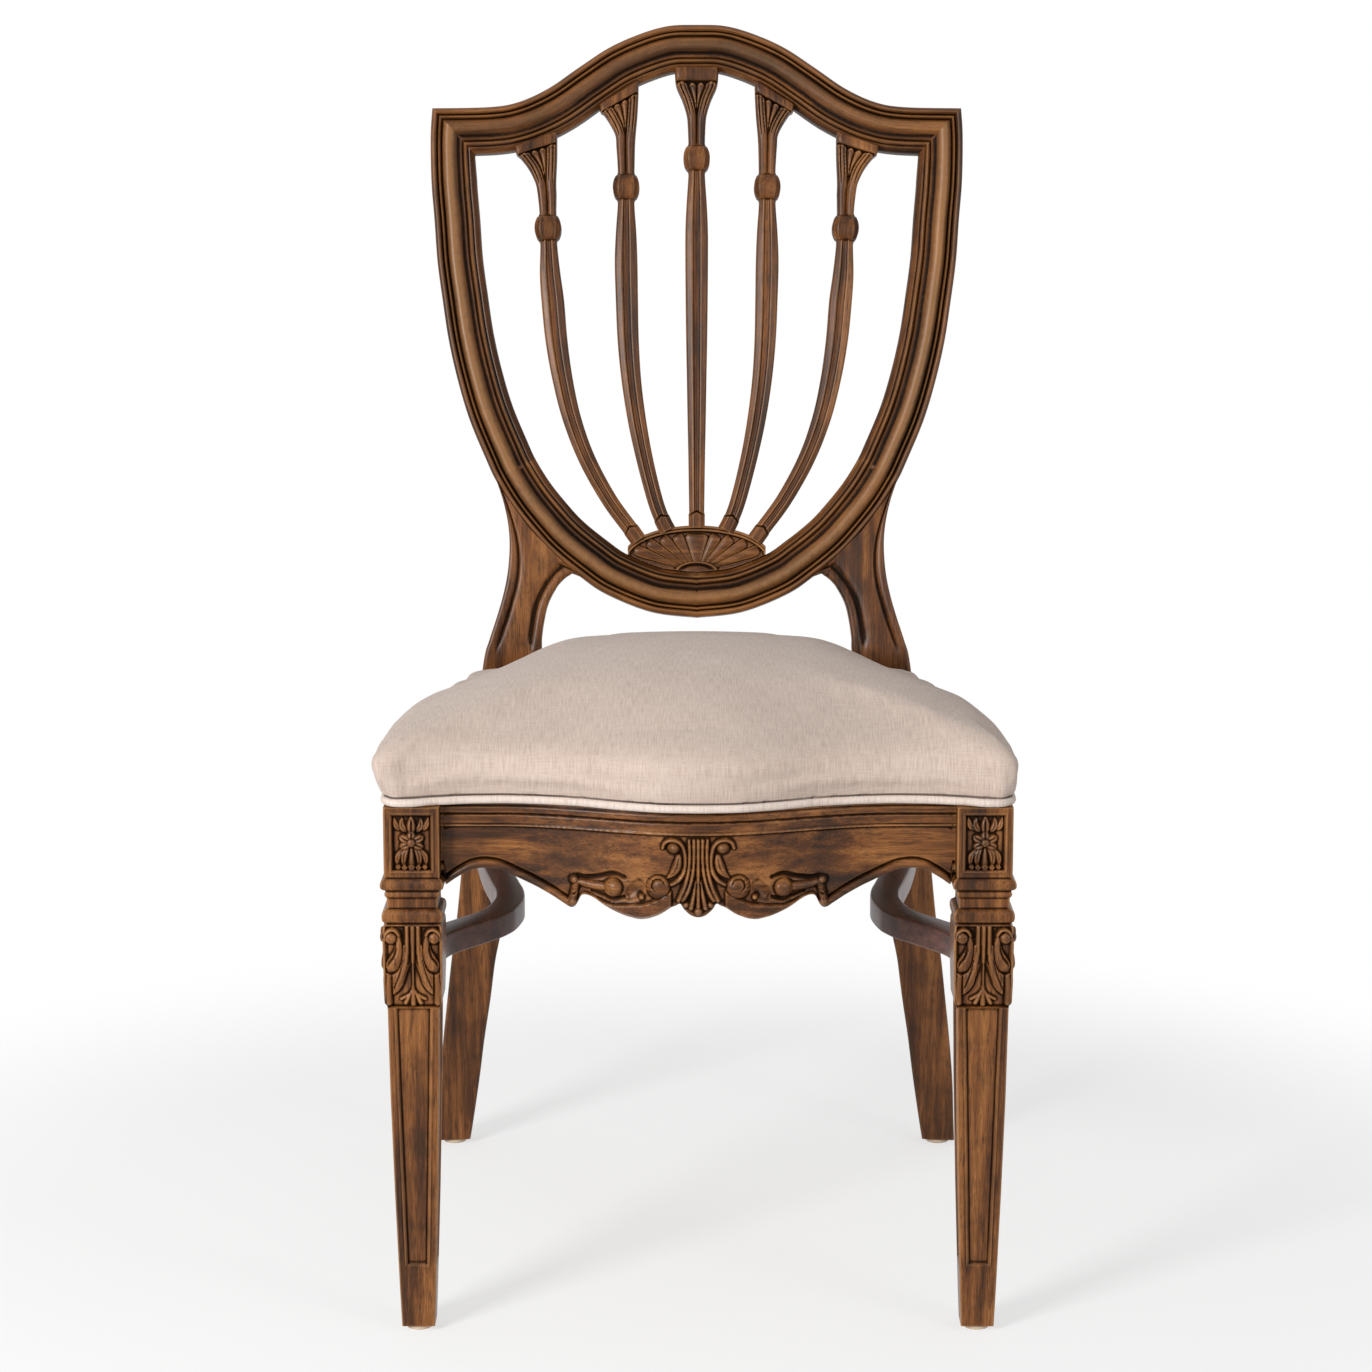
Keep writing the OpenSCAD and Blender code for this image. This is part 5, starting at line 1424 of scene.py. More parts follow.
# The post's moulding: millimetres from its edge, depth in millimetres
POST_MOULDING = (
    (0, 5), (0, 2.2), (0.5, 1.1), (1.4, 0.4), (3, 0), (5, 0.1), (6.6, 0.7), (7.6, 1.7), (8.2, 2.8),
    (9, 3), (9.8, 2.6), (10.6, 1.7), (12, 1.2), (15, 1))
# The lozenge's corners, and its loops: share of its size, height over the leg
LOZENGE = ((0.0, 14.0), (9.5, 0.0), (0.0, -14.0), (-9.5, 0.0))
LOZENGE_LOOPS = ((1, -2.5), (1, 1), (0.9, 1.9), (0.68, 1.5), (0.62, -0.3), (0.55, -0.5),
                 (0.2, 0.3), (0.02, 0.5))


@dataclass(frozen=True)
class RearLeg:
    """One piece from the rear foot to the shield's base."""

    side: Side
    form: BackForm = BACK
    thick: float = 31.0
    glide_t: float = 4.0
    lozenge_z: float = 243.0
    lozenge_x: float = 176.0
    steps: int = 6
    bend_row: int = 15
    bend_rows: int = 5

    def rows(self) -> Array:
        """Outer x and z, inner x and z, and thickness share, one row a level."""
        f = self.form
        side = SHIELD.side()
        rise_h = side[JOINT, 1] - f.knee_z
        low = [(o * f.shield_half, max(self.glide_t, z * f.knee_z), i * f.shield_half,
                max(self.glide_t, z * f.knee_z), t) for o, i, z, t in LEG_ROWS]
        high = [(o * f.shield_half, f.knee_z + oz * rise_h, i * f.shield_half,
                 f.knee_z + iz * rise_h, t) for o, oz, i, iz, t in POST_ROWS]
        high[-1] = (*side[JOINT], *side[POST_END], POST_ROWS[-1][4])
        return spline(np.array(low + high), self.steps)

    def section(self, wide: Array) -> tuple[Array, Array]:
        """Shares of the width across the front, a row a level, and the moulding's depth there."""
        run, depth = np.array(POST_MOULDING).T
        shrink = (np.minimum(1, wide / 40) / wide)[:, None]
        inner = (run + 1.9 * rise(run, 7.6, 10.6))[::-1]
        share = [run * shrink, np.full_like(shrink, 0.5), 1 - inner * shrink]
        return np.concatenate(share, axis=1), np.concatenate([depth, [0.8], depth[::-1]])

    def build(self) -> None:
        """Makes the leg and its carved lozenge."""
        rows = self.rows()
        outer, inner = rows[:, :2], rows[:, 2:4]
        share, groove = self.section(np.linalg.norm(outer - inner, axis=1))
        post = rise(rows[:, 1], 446.0, 470.0)[:, None]
        plain = 2.2 * np.exp(-np.minimum(share, 1 - share) / 0.018)
        front = -(post * groove + (1 - post) * plain)
        side = SHIELD.side()
        level = np.arange(len(rows)) / self.steps
        into = np.clip((level - self.bend_row) / self.bend_rows, 0, 1) ** 2
        sunk = side + 0.4 * edges_of(side)

        def bent(at: Array) -> Array:
            """Places at shares of the width, the topmost along the shield's outer edge."""
            spot = JOINT + at * (POST_END - JOINT)
            top = np.stack([np.interp(spot, np.arange(len(side)), sunk[:, k]) for k in (0, 1)], -1)
            chord = blend(side[JOINT], side[POST_END], at[..., None])
            level = blend(outer[:, None], inner[:, None], at[..., None])
            return level + into[:, None, None] * (top - chord)

        back = np.broadcast_to([0.985, 0.9, 0.5, 0.1, 0.015], (len(rows), 5))
        around = np.concatenate([bent(share), bent(back)], axis=1)
        rear = [1.2, 0, 0, 0, 1.2] - rows[:, 4:] * self.thick
        n = np.concatenate([front, rear], axis=1)
        flip = self.side.value
        points = self.form.place(around[..., 0], around[..., 1], n) * [flip, 1, 1]
        run = lengths(blend(outer, inner, 0.5))
        grain = xyz(around[..., 0], n, run[:, None])
        name = f"rear_leg_{self.side.word}"
        wooden(f"wood_{name}", points, grain + [50.0 * flip, 0, 0], name)
        self.lozenge()

    def lozenge(self) -> None:
        """The bevelled diamond below the brace."""
        ring = np.array(LOZENGE)
        corners = np.array([blend(ring[i], ring[(i + 1) % 4], t)
                            for i in range(4) for t in (0.02, 0.25, 0.5, 0.75, 0.98)])
        share, height = np.array(LOZENGE_LOOPS).T[..., None]
        spots = share[..., None] * corners
        x = (spots[..., 0] + self.lozenge_x) * self.side.value
        z = spots[..., 1] + self.lozenge_z
        y = self.form.y(self.lozenge_x, z) - height
        wooden(f"carved_lozenge_{self.side.word}", xyz(x, y, z), None)


# A front leg's silhouette: share of the block's half width, share of the leg's height
LEG_OUTLINE = (
    (0.602, 0), (0.656, 0.067), (0.783, 0.262), (0.885, 0.453), (0.925, 0.58), (0.937, 0.62),
    (0.975, 0.626), (1.024, 0.632), (1.061, 0.68), (1.08, 0.74), (1.07, 0.772), (1.05, 0.778),
    (0.98, 0.7805), (0.955, 0.7828), (1, 0.7846), (1.07, 0.7865), (1.095, 0.792), (1.1, 0.797),
    (1.09, 0.802), (1.05, 0.806), (1, 0.808), (0.93, 0.8095), (0.915, 0.812), (0.913, 0.82),
    (0.915, 0.829), (0.93, 0.8312), (0.98, 0.8332), (0.998, 0.8372), (0.98, 0.841),
    (0.945, 0.843), (0.96, 0.8444), (1.05, 0.8462), (1.12, 0.849), (1.146, 0.8542),
    (1.13, 0.8602), (1.08, 0.8647), (1.02, 0.8667), (0.99, 0.8685), (1, 0.8705), (1, 0.9),
    (1, 0.95), (1, 1))
# The lower edge of the capital's leaves: distance from its middle, height
LEAF_EDGE = ((0, 291), (3, 284), (5.4, 277), (7.5, 270), (10.5, 265.5), (13.7, 263),
             (15.6, 261.6), (16.5, 263), (17.3, 257.5), (21, 254.6))


@dataclass(frozen=True)
class FrontLeg:
    """A square tapered leg: panelled shaft, leaf capital, two collars and a rosette block."""

    side: Side
    half: float = 20.5
    height: float = 404.3
    glide_t: float = 4.0
    centre_x: float = 210.3
    across: int = 74
    corner: float = 1.3
    panel_low: float = 53.4
    panel_top: float = 252.0
    panel_deep: float = 1.9
    window: tuple[float, float] = (14.4, 20.7)
    window_z: float = 378.0
    window_deep: float = 3.6

    def outline(self, z: Array) -> Array:
        """Half width of the leg at height z, its steps eased over 0.8 mm."""
        share, level = np.array(LEG_OUTLINE).T
        level = self.glide_t + level * (self.height - self.glide_t)
        return self.half * np.mean([np.interp(z + d, level, share) for d in (-0.4, 0, 0.4)], axis=0)

    def levels(self) -> Array:
        """Heights of the rings, denser where the leg is carved."""
        steps = [np.linspace(4, 5.5, 3), np.linspace(6.5, 50, 12), np.linspace(51.5, 57, 8),
                 np.linspace(61, 246, 34), np.arange(248, 254, 0.8),
                 np.arange(254, 317, 0.56), np.arange(317, 352, 0.45),
                 np.arange(352, 402.6, 0.58), np.array([403.2, 403.9, 404.3])]
        return np.concatenate(steps)

    def panel(self, art: Relief) -> None:
        """The sunk, tapered panel of the shaft."""
        wide = np.interp(art.up, [self.panel_low, self.panel_top], [7.4, 12.6])
        inside = np.minimum(wide - np.abs(art.across), art.up - self.panel_low)
        shaft = art.up < self.panel_top + 0.6
        art.height -= np.where(shaft, self.panel_deep * rise(inside, -0.4, 1.0), 0.0)
        art.height += np.where(shaft, 0.35 * hump(inside + 1.4, 0.6), 0.0)

    def capital(self, art: Relief) -> None:
        """The leaf capital between the shaft and the lower collar, mirrored in its middle."""
        u, z = np.abs(art.across), art.up
        zone = rise(z, 253.0, 254.4) * (1 - rise(z, 314.8, 315.8))
        art.height -= 3.5 * zone * rise(20.6 - u, 0.0, 1.6)
        leaf = Relief(u, z)
        edge, level = np.array(LEAF_EDGE).T
        inside = z - np.interp(u, edge, level)
        leaf.height = -3.5 + 3.0 * rise(inside, -0.4, 2.0) * (1 - rise(z, 276.0, 293.0))
        # Reeds that part into the leaves' broad ribs, and the long ridge between them
        leaf.rib([(0, 315.4), (0, 303), (0, 294), (0, 286)], [1.9, 1.7, 1.4, 0.9], 2.8, -2.6)
        leaf.rib([(4.1, 315.4), (4.1, 303), (4.5, 294), (6.3, 284), (9.8, 274), (13.8, 265)],
                 [1.8, 1.6, 1.6, 2.0, 2.3, 1.3], 3.1, -2.5)
        leaf.rib([(0, 287), (0, 276), (0, 266)], [0.9, 0.9, 1.0], 1.9, -2.9)
        # Bud of five small ridges
        leaf.rib([(0, 268.5), (0, 262), (0, 256)], [1.0, 1.7, 2.1], 2.9, -2.8)
        leaf.rib([(0.8, 267), (3.4, 261.5), (5.6, 257)], [0.7, 1.5, 1.7], 2.5, -2.8)
        leaf.rib([(1.8, 265), (5.6, 261.8), (9, 260)], [0.5, 1.1, 1.2], 2.0, -2.8)
        # Broad leaf between the reeds and the tongue, and the outer leaf under it
        leaf.rib([(6.0, 300), (6.6, 290), (8.6, 281), (11.4, 273), (14.6, 265.4)],
                 [1.2, 2.0, 2.9, 3.3, 1.2], 3.0, -2.5)
        leaf.rib([(17.6, 281), (18.2, 272), (18.2, 257)], [2.2, 2.7, 2.7], 2.9, -2.4)
        leaf.cut([(7.2, 290), (9.6, 280), (12.6, 272), (14.6, 267)], [0.4, 0.7, 0.7, 0.4], 1.2)
        leaf.cut([(15.4, 279), (15.5, 270), (15.2, 260)], [0.5, 0.8, 0.8], 2.0)
        # Tongue that hangs from the scroll, with a curled edge
        leaf.cut([(9.0, 300), (8.8, 292), (11.2, 283.6), (15.4, 279.6), (19.4, 281)],
                 [0.8, 1.2, 1.3, 1.3, 1.0], 2.6)
        leaf.rib([(11.4, 308), (10.2, 302), (10.8, 295.6), (13.2, 289.4), (15.2, 285.6)],
                 [2.0, 2.4, 3.4, 4.7, 5.0], 4.2, -2.4)
        leaf.cut([(12.6, 303.4), (12.2, 298), (14.2, 292), (17.0, 288.4), (18.6, 285.4)],
                 [0.5, 0.9, 1.1, 1.0, 0.5], 1.9)
        # Hood over the ball at the top
        leaf.rib([(20.4, 305), (19.9, 309.6), (16.4, 312.7), (12.4, 312.2), (10.0, 308.6)],
                 [1.1, 1.5, 1.6, 1.6, 1.3], 3.7, -1.9)
        leaf.ball(15.9, 306.6, 4.1, 2.3)
        inner = (z > 253.6) & (z < 315.2)
        art.height = np.where(inner, np.maximum(art.height, leaf.height), art.height)

    def rosette(self, art: Relief) -> None:
        """The sunk panel of the block with its flower and leaves, mirrored in the middle."""
        u, z = np.abs(art.across), art.up - self.window_z
        inside = np.minimum(self.window[0] - u, self.window[1] - np.abs(z))
        art.height -= self.window_deep * rise(inside, -0.2, 0.8)
        art.height += 0.4 * hump(inside + 1.4, 0.6) * (np.abs(z) < 26)
        flower = Relief(u, z)
        flower.height[:] = -9.0
        low = -3.5
        # Leaves above: one upright, one leaning out, one in the corner
        flower.leaf([(0, 8), (0, 13), (0, 20)], 3.6, 3.4, low, 0.45)
        flower.leaf([(4.4, 8.6), (7, 13), (6.8, 19.6)], 2.6, 3.1, low, 0.35)
        flower.leaf([(9, 9.6), (11.4, 13.6), (12.6, 19.4)], 2.3, 2.8, low, 0.3)
        # Tassel and leaves below, with a scalloped hem
        flower.rib([(0, -3), (0, -11), (0, -19)], [1.2, 2.1, 2.4], 3.1, low)
        flower.leaf([(2.4, -3.4), (5.2, -8.6), (5.8, -14), (5, -19.6)], 2.7, 3.4, low, 0.3)
        flower.leaf([(6, -5.4), (9.6, -9.4), (10.6, -14), (9.8, -19)], 2.3, 3.0, low, 0.3)
        for x, y, r in ((0, -18.4, 2.2), (5.2, -18.4, 2.0), (9.8, -18, 1.8), (13, -18.2, 1.2),
                        (12.8, -4, 1.3), (12.6, 6.4, 1.3), (12.9, -11.4, 1.1)):
            flower.ball(x, y, r, -0.6 + 0.4 * r)
        # Five petals round the boss
        for turn, reach in ((90, 8.4), (27, 9.8), (-26, 9.2)):
            way = toward(turn)
            flower.leaf([1.6 * way, 0.6 * reach * way, reach * way], 3.6, 3.9, low, 0.3)
        flower.ball(0, 0, 3.0, 1.7)
        art.height = np.where(inside > 0.3, np.maximum(art.height, flower.height), art.height)

    def relief(self, u: Array, z: Array, carved: bool) -> Array:
        """The relief of one face at places across it and heights; a carved face has leaves."""
        art = Relief(u, z)
        self.panel(art)
        if carved:
            self.capital(art)
            self.rosette(art)
        return art.height

    def build(self) -> None:
        """Makes the leg as one closed body."""
        z = self.levels()
        reach = self.outline(z)[:, None]
        t = np.linspace(-1, 1, self.across)
        t = 0.82 * t + 0.18 * np.sin(t * math.pi / 2)
        loops = []
        for face in range(4):
            # Face 0 looks to -Y, 1 outwards, 2 to the rear and 3 inwards
            u = t[None, :] * (reach - self.corner * 0.3)
            heights = np.broadcast_to(z[:, None], u.shape)
            lift = self.relief(u, heights, face < 2) * rise(reach - np.abs(u), 0.0, 0.7)
            edge = np.clip(np.abs(u) - (reach - self.corner), 0, None)
            eased = self.corner - np.sqrt(np.clip(self.corner**2 - edge**2, 0, None))
            out = reach - eased + lift
            turn = face * math.pi / 2
            cx, sy = math.cos(turn), math.sin(turn)
            loops.append(xyz(u * cx + out * sy, u * sy - out * cx, heights))
        ring = np.concatenate(loops, axis=1)
        flip = self.side.value
        grain = ring + [215.0 * flip, 40.0, 0]
        ring = ring * [flip, 1, 1] + [flip * self.centre_x, self.half, 0]
        name = f"front_leg_{self.side.word}"
        wooden(f"wood_{name}", ring, grain, name)


# The front rail's lower edge on the right half, in millimetres
RAIL_EDGE = (
    (0, 326.3), (3, 326.8), (6, 328.2), (9, 330.8), (11, 333), (12.6, 335.8), (14, 336.3),
    (16.5, 334.8), (20, 333.4), (24, 330.6), (28, 328), (32, 326.2), (37, 324.4), (43, 323.6),
    (48.4, 324.4), (54, 325.6), (60, 327.8), (65, 330), (70, 332.8), (75, 336.1), (79.2, 338.2),
    (83, 339), (86, 338), (88, 334), (90.2, 330.2), (92.4, 328.6), (95, 328.8),
    (98, 330.6), (103, 333.6), (108.5, 336.9), (119.4, 342.6), (130.4, 347.6), (141.3, 352.6),
    (147, 354.6), (152.3, 355.6), (158, 356), (163.3, 355.4), (169, 353.8), (174.3, 351),
    (180, 347.5), (185.4, 343.6))


@dataclass(frozen=True)
class FrontRail:
    """The carved serpentine rail under the seat's front."""

    top: float = 404.55
    half: float = 189.55
    thick: float = 26.0
    swell: float = 33.4
    swell_half: float = 148.0
    setback: float = 15.6
    collar_x: float = 186.5
    block_z: float = 352.6
    columns: int = 541
    rows: int = 122

    def face_y(self, x: Array) -> Array:
        """Depth of the rail's face at X."""
        near = np.minimum(1.0, np.abs(x) / self.swell_half)
        return self.setback - self.swell * (1 + np.cos(math.pi * near)) / 2

    def edge(self, x: Array) -> Array:
        """Height of the lower edge at X."""
        line = spline(RAIL_EDGE, 4)
        low = np.interp(np.abs(x), line[:, 0], line[:, 1])
        return np.where(np.abs(x) > self.collar_x, self.block_z, low)

    def carve(self, art: Relief) -> None:
        """Fascias, arch bead, shell, scrolls and ornaments of one half; the other mirrors it."""
        u, z = art.across, art.up
        lift = z - self.edge(u)
        arch = rise(u, 90.0, 96.0)
        # Two fascias, the lip under them and their dark lines
        art.height += 1.3 * rise(z, 387.0, 387.8) - 2.4 * rise(z, 401.4, 404.5)
        art.height += 0.8 * hump(z - 388.3, 0.8)
        for level, wide in ((397.0, 0.75), (385.9, 0.95)):
            art.height -= 2.0 * hump(z - level, wide)
        # Bead along the arch
        bead = dome((lift - 3.3) / 3.3)
        art.height = np.maximum(art.height, arch * 3.0 * bead)
        art.height -= arch * 1.8 * hump(lift - 7.5, 0.9)
        # Dark hollows beside and over the ball, then the lobe's broad band
        art.cut([(43, 351), (45.6, 345.6), (50, 341)], [4.2, 6.6, 5.0], 3.4)
        art.cut([(54, 354.4), (62.6, 356.6), (72, 354), (82, 352.6), (88, 353.4)],
                [2.2, 2.4, 2.4, 2.2, 1.4], 2.6)
        art.cut([(54.5, 339.4), (62, 337.8), (70, 340.4), (78, 342.4)], [2.0, 2.2, 1.8, 1.4], 2.4)
        wide = np.interp(u, [30, 46, 56, 62, 72, 80], [13.0, 11.6, 8.0, 5.4, 3.2, 2.4])
        lobe = rise(u, 19.0, 20.6) * (1 - rise(u, 84.0, 89.0))
        band = rise(lift, -0.6, 1.6) * (1 - rise(lift, wide - 1.6, wide + 0.2))
        band = 3.0 * band + 0.5 * hump(lift - 1.3, 0.7)
        art.height = np.maximum(art.height, np.where(lobe * band > 0.05, lobe * band, -9.0))
        # Shell: ribs that part below its waist into a palmette
        art.rib([(0, 384), (0, 372), (0, 356), (0, 343), (0, 335)], [1.5, 1.2, 1.1, 1.4, 1.8],
                3.3, 0.9)
        art.rib([(3.2, 384), (3.1, 374), (3.5, 364), (4.9, 355), (8, 345.5), (11.4, 339.6)],
                [1.4, 1.2, 1.2, 1.4, 1.9, 1.7], 3.4, 0.8)
        art.rib([(1.9, 353), (3.4, 343), (5.2, 334)], [0.7, 1.5, 2.1], 3.0, 0.8)
        art.ball(9.0, 336.0, 2.5, 3.4)
        art.ball(0, 331.4, 3.4, 4.6)
        # Band that flanks the shell
        art.rib([(6.7, 384), (6.3, 373), (7.2, 361), (10.2, 349), (14.4, 339.6)],
                [1.3, 1.3, 1.4, 1.9, 1.9], 3.7, 0.6)
        # Scroll that hooks over its ball, with a broad leaf inside
        art.rib([(26, 377.8), (24.6, 382), (19.8, 384.2), (14.4, 383), (11, 378.8), (9.6, 372.6),
                 (9.5, 366), (11, 359.6), (14.6, 354.4), (19.6, 351)],
                [1.2, 1.5, 1.7, 1.7, 1.6, 1.4, 1.4, 1.7, 1.9, 1.4], 4.2, 0.4)
        art.ball(18.0, 378.4, 4.4, 5.4)
        art.leaf([(14.2, 373), (15.2, 366), (18, 360), (23.6, 355)], 3.5, 3.5, 0.6, 0.2)
        # Ruffled knob that the lobe's band curls into
        knob = np.array([29.2, 348.6])
        art.ball(*knob, 8.7, 5.2)
        art.cut([(24.6, 350.8), (27, 354.4), (32, 354), (34, 349.4), (31.2, 345.8)],
                [0.5, 0.8, 0.9, 0.8, 0.4], 1.7)
        for turn in (44, 20, -4, -28):
            art.cut([knob + 5.8 * toward(turn), knob + 8.4 * toward(turn)], [0.4, 0.8], 1.3)
        art.ball(41.4, 340.6, 2.2, 4.0)
        # Ball, ribbon, and the leaf that falls to the tip
        art.ball(62.6, 346.4, 7.1, 6.6)
        art.rib([(70.5, 346.6), (80, 347.2), (88.5, 348.8)], [3.4, 2.9, 2.2], 3.6, 0.3)
        art.rib([(89.8, 348), (90.8, 342), (92.4, 336)], [2.4, 2.7, 2.9], 3.4, 0.4)
        art.ball(91.4, 350.2, 3.5, 4.6)
        art.ball(92.6, 333.6, 3.9, 5.0)
        art.cut([(88.8, 341.6), (91.6, 339.6), (94.4, 340.4)], [0.5, 0.9, 0.5], 1.6)

    def build(self) -> None:
        """Makes the rail as one closed body."""
        t = np.linspace(-1, 1, self.columns)
        x = self.half * (0.76 * t + 0.24 * t**3)
        past = np.abs(x) - self.collar_x
        x = np.where(np.abs(past) < 0.42, np.sign(x) * (self.collar_x + np.sign(past) * 0.05), x)
        low = self.edge(x)
        share = np.concatenate([np.linspace(0, 0.24, 30), np.linspace(0.24, 1, self.rows - 29)[1:]])
        z = blend(self.top, low[:, None], share)
        across = np.broadcast_to(x[:, None], z.shape)
        art = Relief(np.abs(across), z)
        self.carve(art)
        # Lower edge eased, so that the bead turns under
        under = np.clip((z - low[:, None]) / 0.9, 0, 1)
        lift = art.height - 0.8 * (1 - under) ** 2
        face = self.face_y(across) - lift
        rear = self.face_y(x)[:, None] + self.thick
        back_z = np.stack([low + 1.5, blend(low, self.top, 0.5), np.full_like(low, self.top)], 1)
        back_y = np.broadcast_to(rear, back_z.shape)
        under_y = blend(face[:, -1:], rear, np.array([[0.25, 0.6, 0.97]]))
        under_z = np.broadcast_to(low[:, None], under_y.shape)
        ring_y = np.concatenate([face, under_y, back_y], axis=1)
        ring_z = np.concatenate([z, under_z, back_z], axis=1)
        points = xyz(x[:, None], ring_y, ring_z)
        wooden("wood_front_rail", points, points[..., ::-1] + [90.0, 0, 0], "front_rail")


# A brace from its front end to its rear one: share of the run, share of the bow
BRACE_BOW = (
    (0, 0), (0.035, 0.07), (0.071, 0.22), (0.115, 0.45), (0.167, 0.73), (0.205, 0.87),
    (0.243, 0.95), (0.32, 1), (0.395, 0.93), (0.47, 0.78), (0.57, 0.58), (0.669, 0.41),
    (0.76, 0.27), (0.85, 0.15), (0.93, 0.06), (1, 0))


@dataclass(frozen=True)
class SeatFrame:
    """The plain rails behind the legs and the bowed braces below them."""

    form: BackForm = BACK
    top: float = 404.55
    low: float = 353.55
    thick: float = 24.0
    front_x: float = 216.0
    rear_x: float = 167.94
    start_y: float = 41.25
    end_y: float = 430.0
    ease: float = 1.6
    back_y: float = 415.4
    brace_low: float = 277.05
    brace_h: float = 23.0
    brace_t: float = 18.0
    brace_bow: float = 46.0
    brace_front: tuple[float, float] = (191.5, 40.3)
    brace_rear: tuple[float, float] = (168.0, 433.5)

    def rail(self) -> tuple[Array, Array]:
        """A rail's section with eased corners, round its middle, and its points' heights."""
        half = np.array([self.thick, self.top - self.low]) / 2 - self.ease
        ring = []
        for quarter, corner in enumerate(((1, 1), (-1, 1), (-1, -1), (1, -1))):
            turns = np.radians(90 * quarter + np.linspace(0, 90, 5))
            ring.append(half * corner + self.ease * np.column_stack([np.cos(turns), np.sin(turns)]))
        ring = np.vstack(ring)
        return ring, ring[:, 1] + (self.top + self.low) / 2

    def leg_edge(self, z: Array) -> Array:
        """X of a rear leg's inner edge at height z."""
        rows = RearLeg(Side.RIGHT).rows()
        return np.interp(z, rows[:, 3], rows[:, 2])

    def side_rail(self, side: Side) -> None:
        """The rail from a front leg to a rear leg."""
        ring, z = self.rail()
        t = np.linspace(0, 1, 25)[:, None]
        end = self.form.y(self.rear_x, z) + 0.6
        y = blend(self.start_y - 0.5, end, t)
        share = (y - self.start_y) / (self.end_y - self.start_y)
        x = blend(self.front_x, self.rear_x, share) + ring[:, 0]
        points = xyz(x * side.value, y, z)
        name = f"side_rail_{side.word}"
        wooden(f"wood_{name}", points, points[..., [0, 2, 1]], name)

    def back_rail(self) -> None:
        """The rail between the rear legs."""
        ring, z = self.rail()
        half = self.leg_edge(z) + 0.6
        x = blend(-half, half, np.linspace(0, 1, 25)[:, None])
        points = xyz(x, ring[:, 0] + self.back_y + self.thick / 2, z)
        wooden("wood_back_rail", points, points[..., [1, 2, 0]], "back_rail")

    def brace(self, side: Side, tree: Tree) -> None:
        """One bowed brace, swept along its path by the geometry tree.

        Args:
            side: The side that it stands on.
            tree: The tree of brace_tree.
        """
        front, rear = np.array(self.brace_front), np.array(self.brace_rear)
        line = spline([blend(front, rear, run) - [bow * self.brace_bow, 0]
                       for run, bow in BRACE_BOW], 5)
        line[1:-1] += edges_of(line)[1:-1] * self.brace_t / 2
        line[[0, -1], 0] += self.brace_t / 2
        ends = unit(np.array([line[0] - line[2], line[-1] - line[-3]])) * 2.5
        line = np.vstack([line[0] + ends[0], line, line[-1] + ends[1]])
        height = self.brace_low + self.brace_h / 2
        points = xyz(line[:, 0] * side.value, line[:, 1] + SET_BACK, height) * MM
        # The braces take the walnut's darker copy, painted shade for their place under the seat
        finish = SHADED_WALNUT.make()
        name = f"wood_brace_{side.word}"
        mesh = tree.apply(name, line_mesh("brace_line", points), {
            "Width": self.brace_t * MM, "Height": self.brace_h * MM, "Ease": self.ease * MM,
            "Finish": finish})
        grain_from_place(mesh, (0, 2, 1))
        settle(finished(name, mesh, finish), "dark_walnut", f"brace_{side.word}")

    def brace_tree(self) -> Tree:
        """A tree that sweeps an eased rectangle along a line of edges."""
        tree = Tree("sweep_rectangle", {
            "Width": "NodeSocketFloat", "Height": "NodeSocketFloat", "Ease": "NodeSocketFloat",
            "Finish": "NodeSocketMaterial"})
        shape = tree.add("GeometryNodeCurvePrimitiveQuadrilateral", {}, {
            "Width": tree.given("Height"), "Height": tree.given("Width")})
        eased = tree.add("GeometryNodeFilletCurve", {"mode": "POLY"}, {
            "Curve": shape.outputs[0], "Radius": tree.given("Ease"), "Count": 4})
        tree.sweep(eased.outputs[0])
        return tree

    def build(self) -> None:
        """Makes the rails and the braces."""
        tree = self.brace_tree()
        for side in Side:
            self.side_rail(side)
            self.brace(side, tree)
        self.back_rail()


# The seat's plan on the right half, from the front's middle to the rear's
SEAT_PLAN = (
    (0, -31), (30, -28.4), (59.9, -18), (90.1, -4), (120, 4), (150, 8), (180, 6), (205, 0),
    (224, -8), (235.4, -8), (240.4, 0), (241, 20), (241, 60), (238, 120), (230.8, 180),
    (224, 240), (214.5, 300), (204, 360), (197, 390), (193.1, 400), (185.1, 403),
    (132.9, 403), (127, 407), (126, 438), (119.9, 445), (59.8, 446), (0, 446))
# Its side and crown: share of the plan, height over the rails
SEAT_LEVELS = (
    (0.962, 0), (0.962, 4), (0.965, 7), (0.972, 12), (0.983, 17), (0.991, 22), (0.997, 27),
    (0.997, 33), (0.97, 40), (0.92, 46.8), (0.835, 54.4), (0.697, 65.4), (0.495, 76.6),
    (0.25, 83.8), (0.02, 86))
# The cover's cloth: held at its foot, blown up by its filling
CLOTH = {"vertex_group_mass": "held", "use_pressure": True, "uniform_pressure_force": 4.0,
         "quality": 5, "mass": 0.3, "tension_stiffness": 15.0, "compression_stiffness": 15.0,
         "shear_stiffness": 5.0, "bending_stiffness": 0.6}


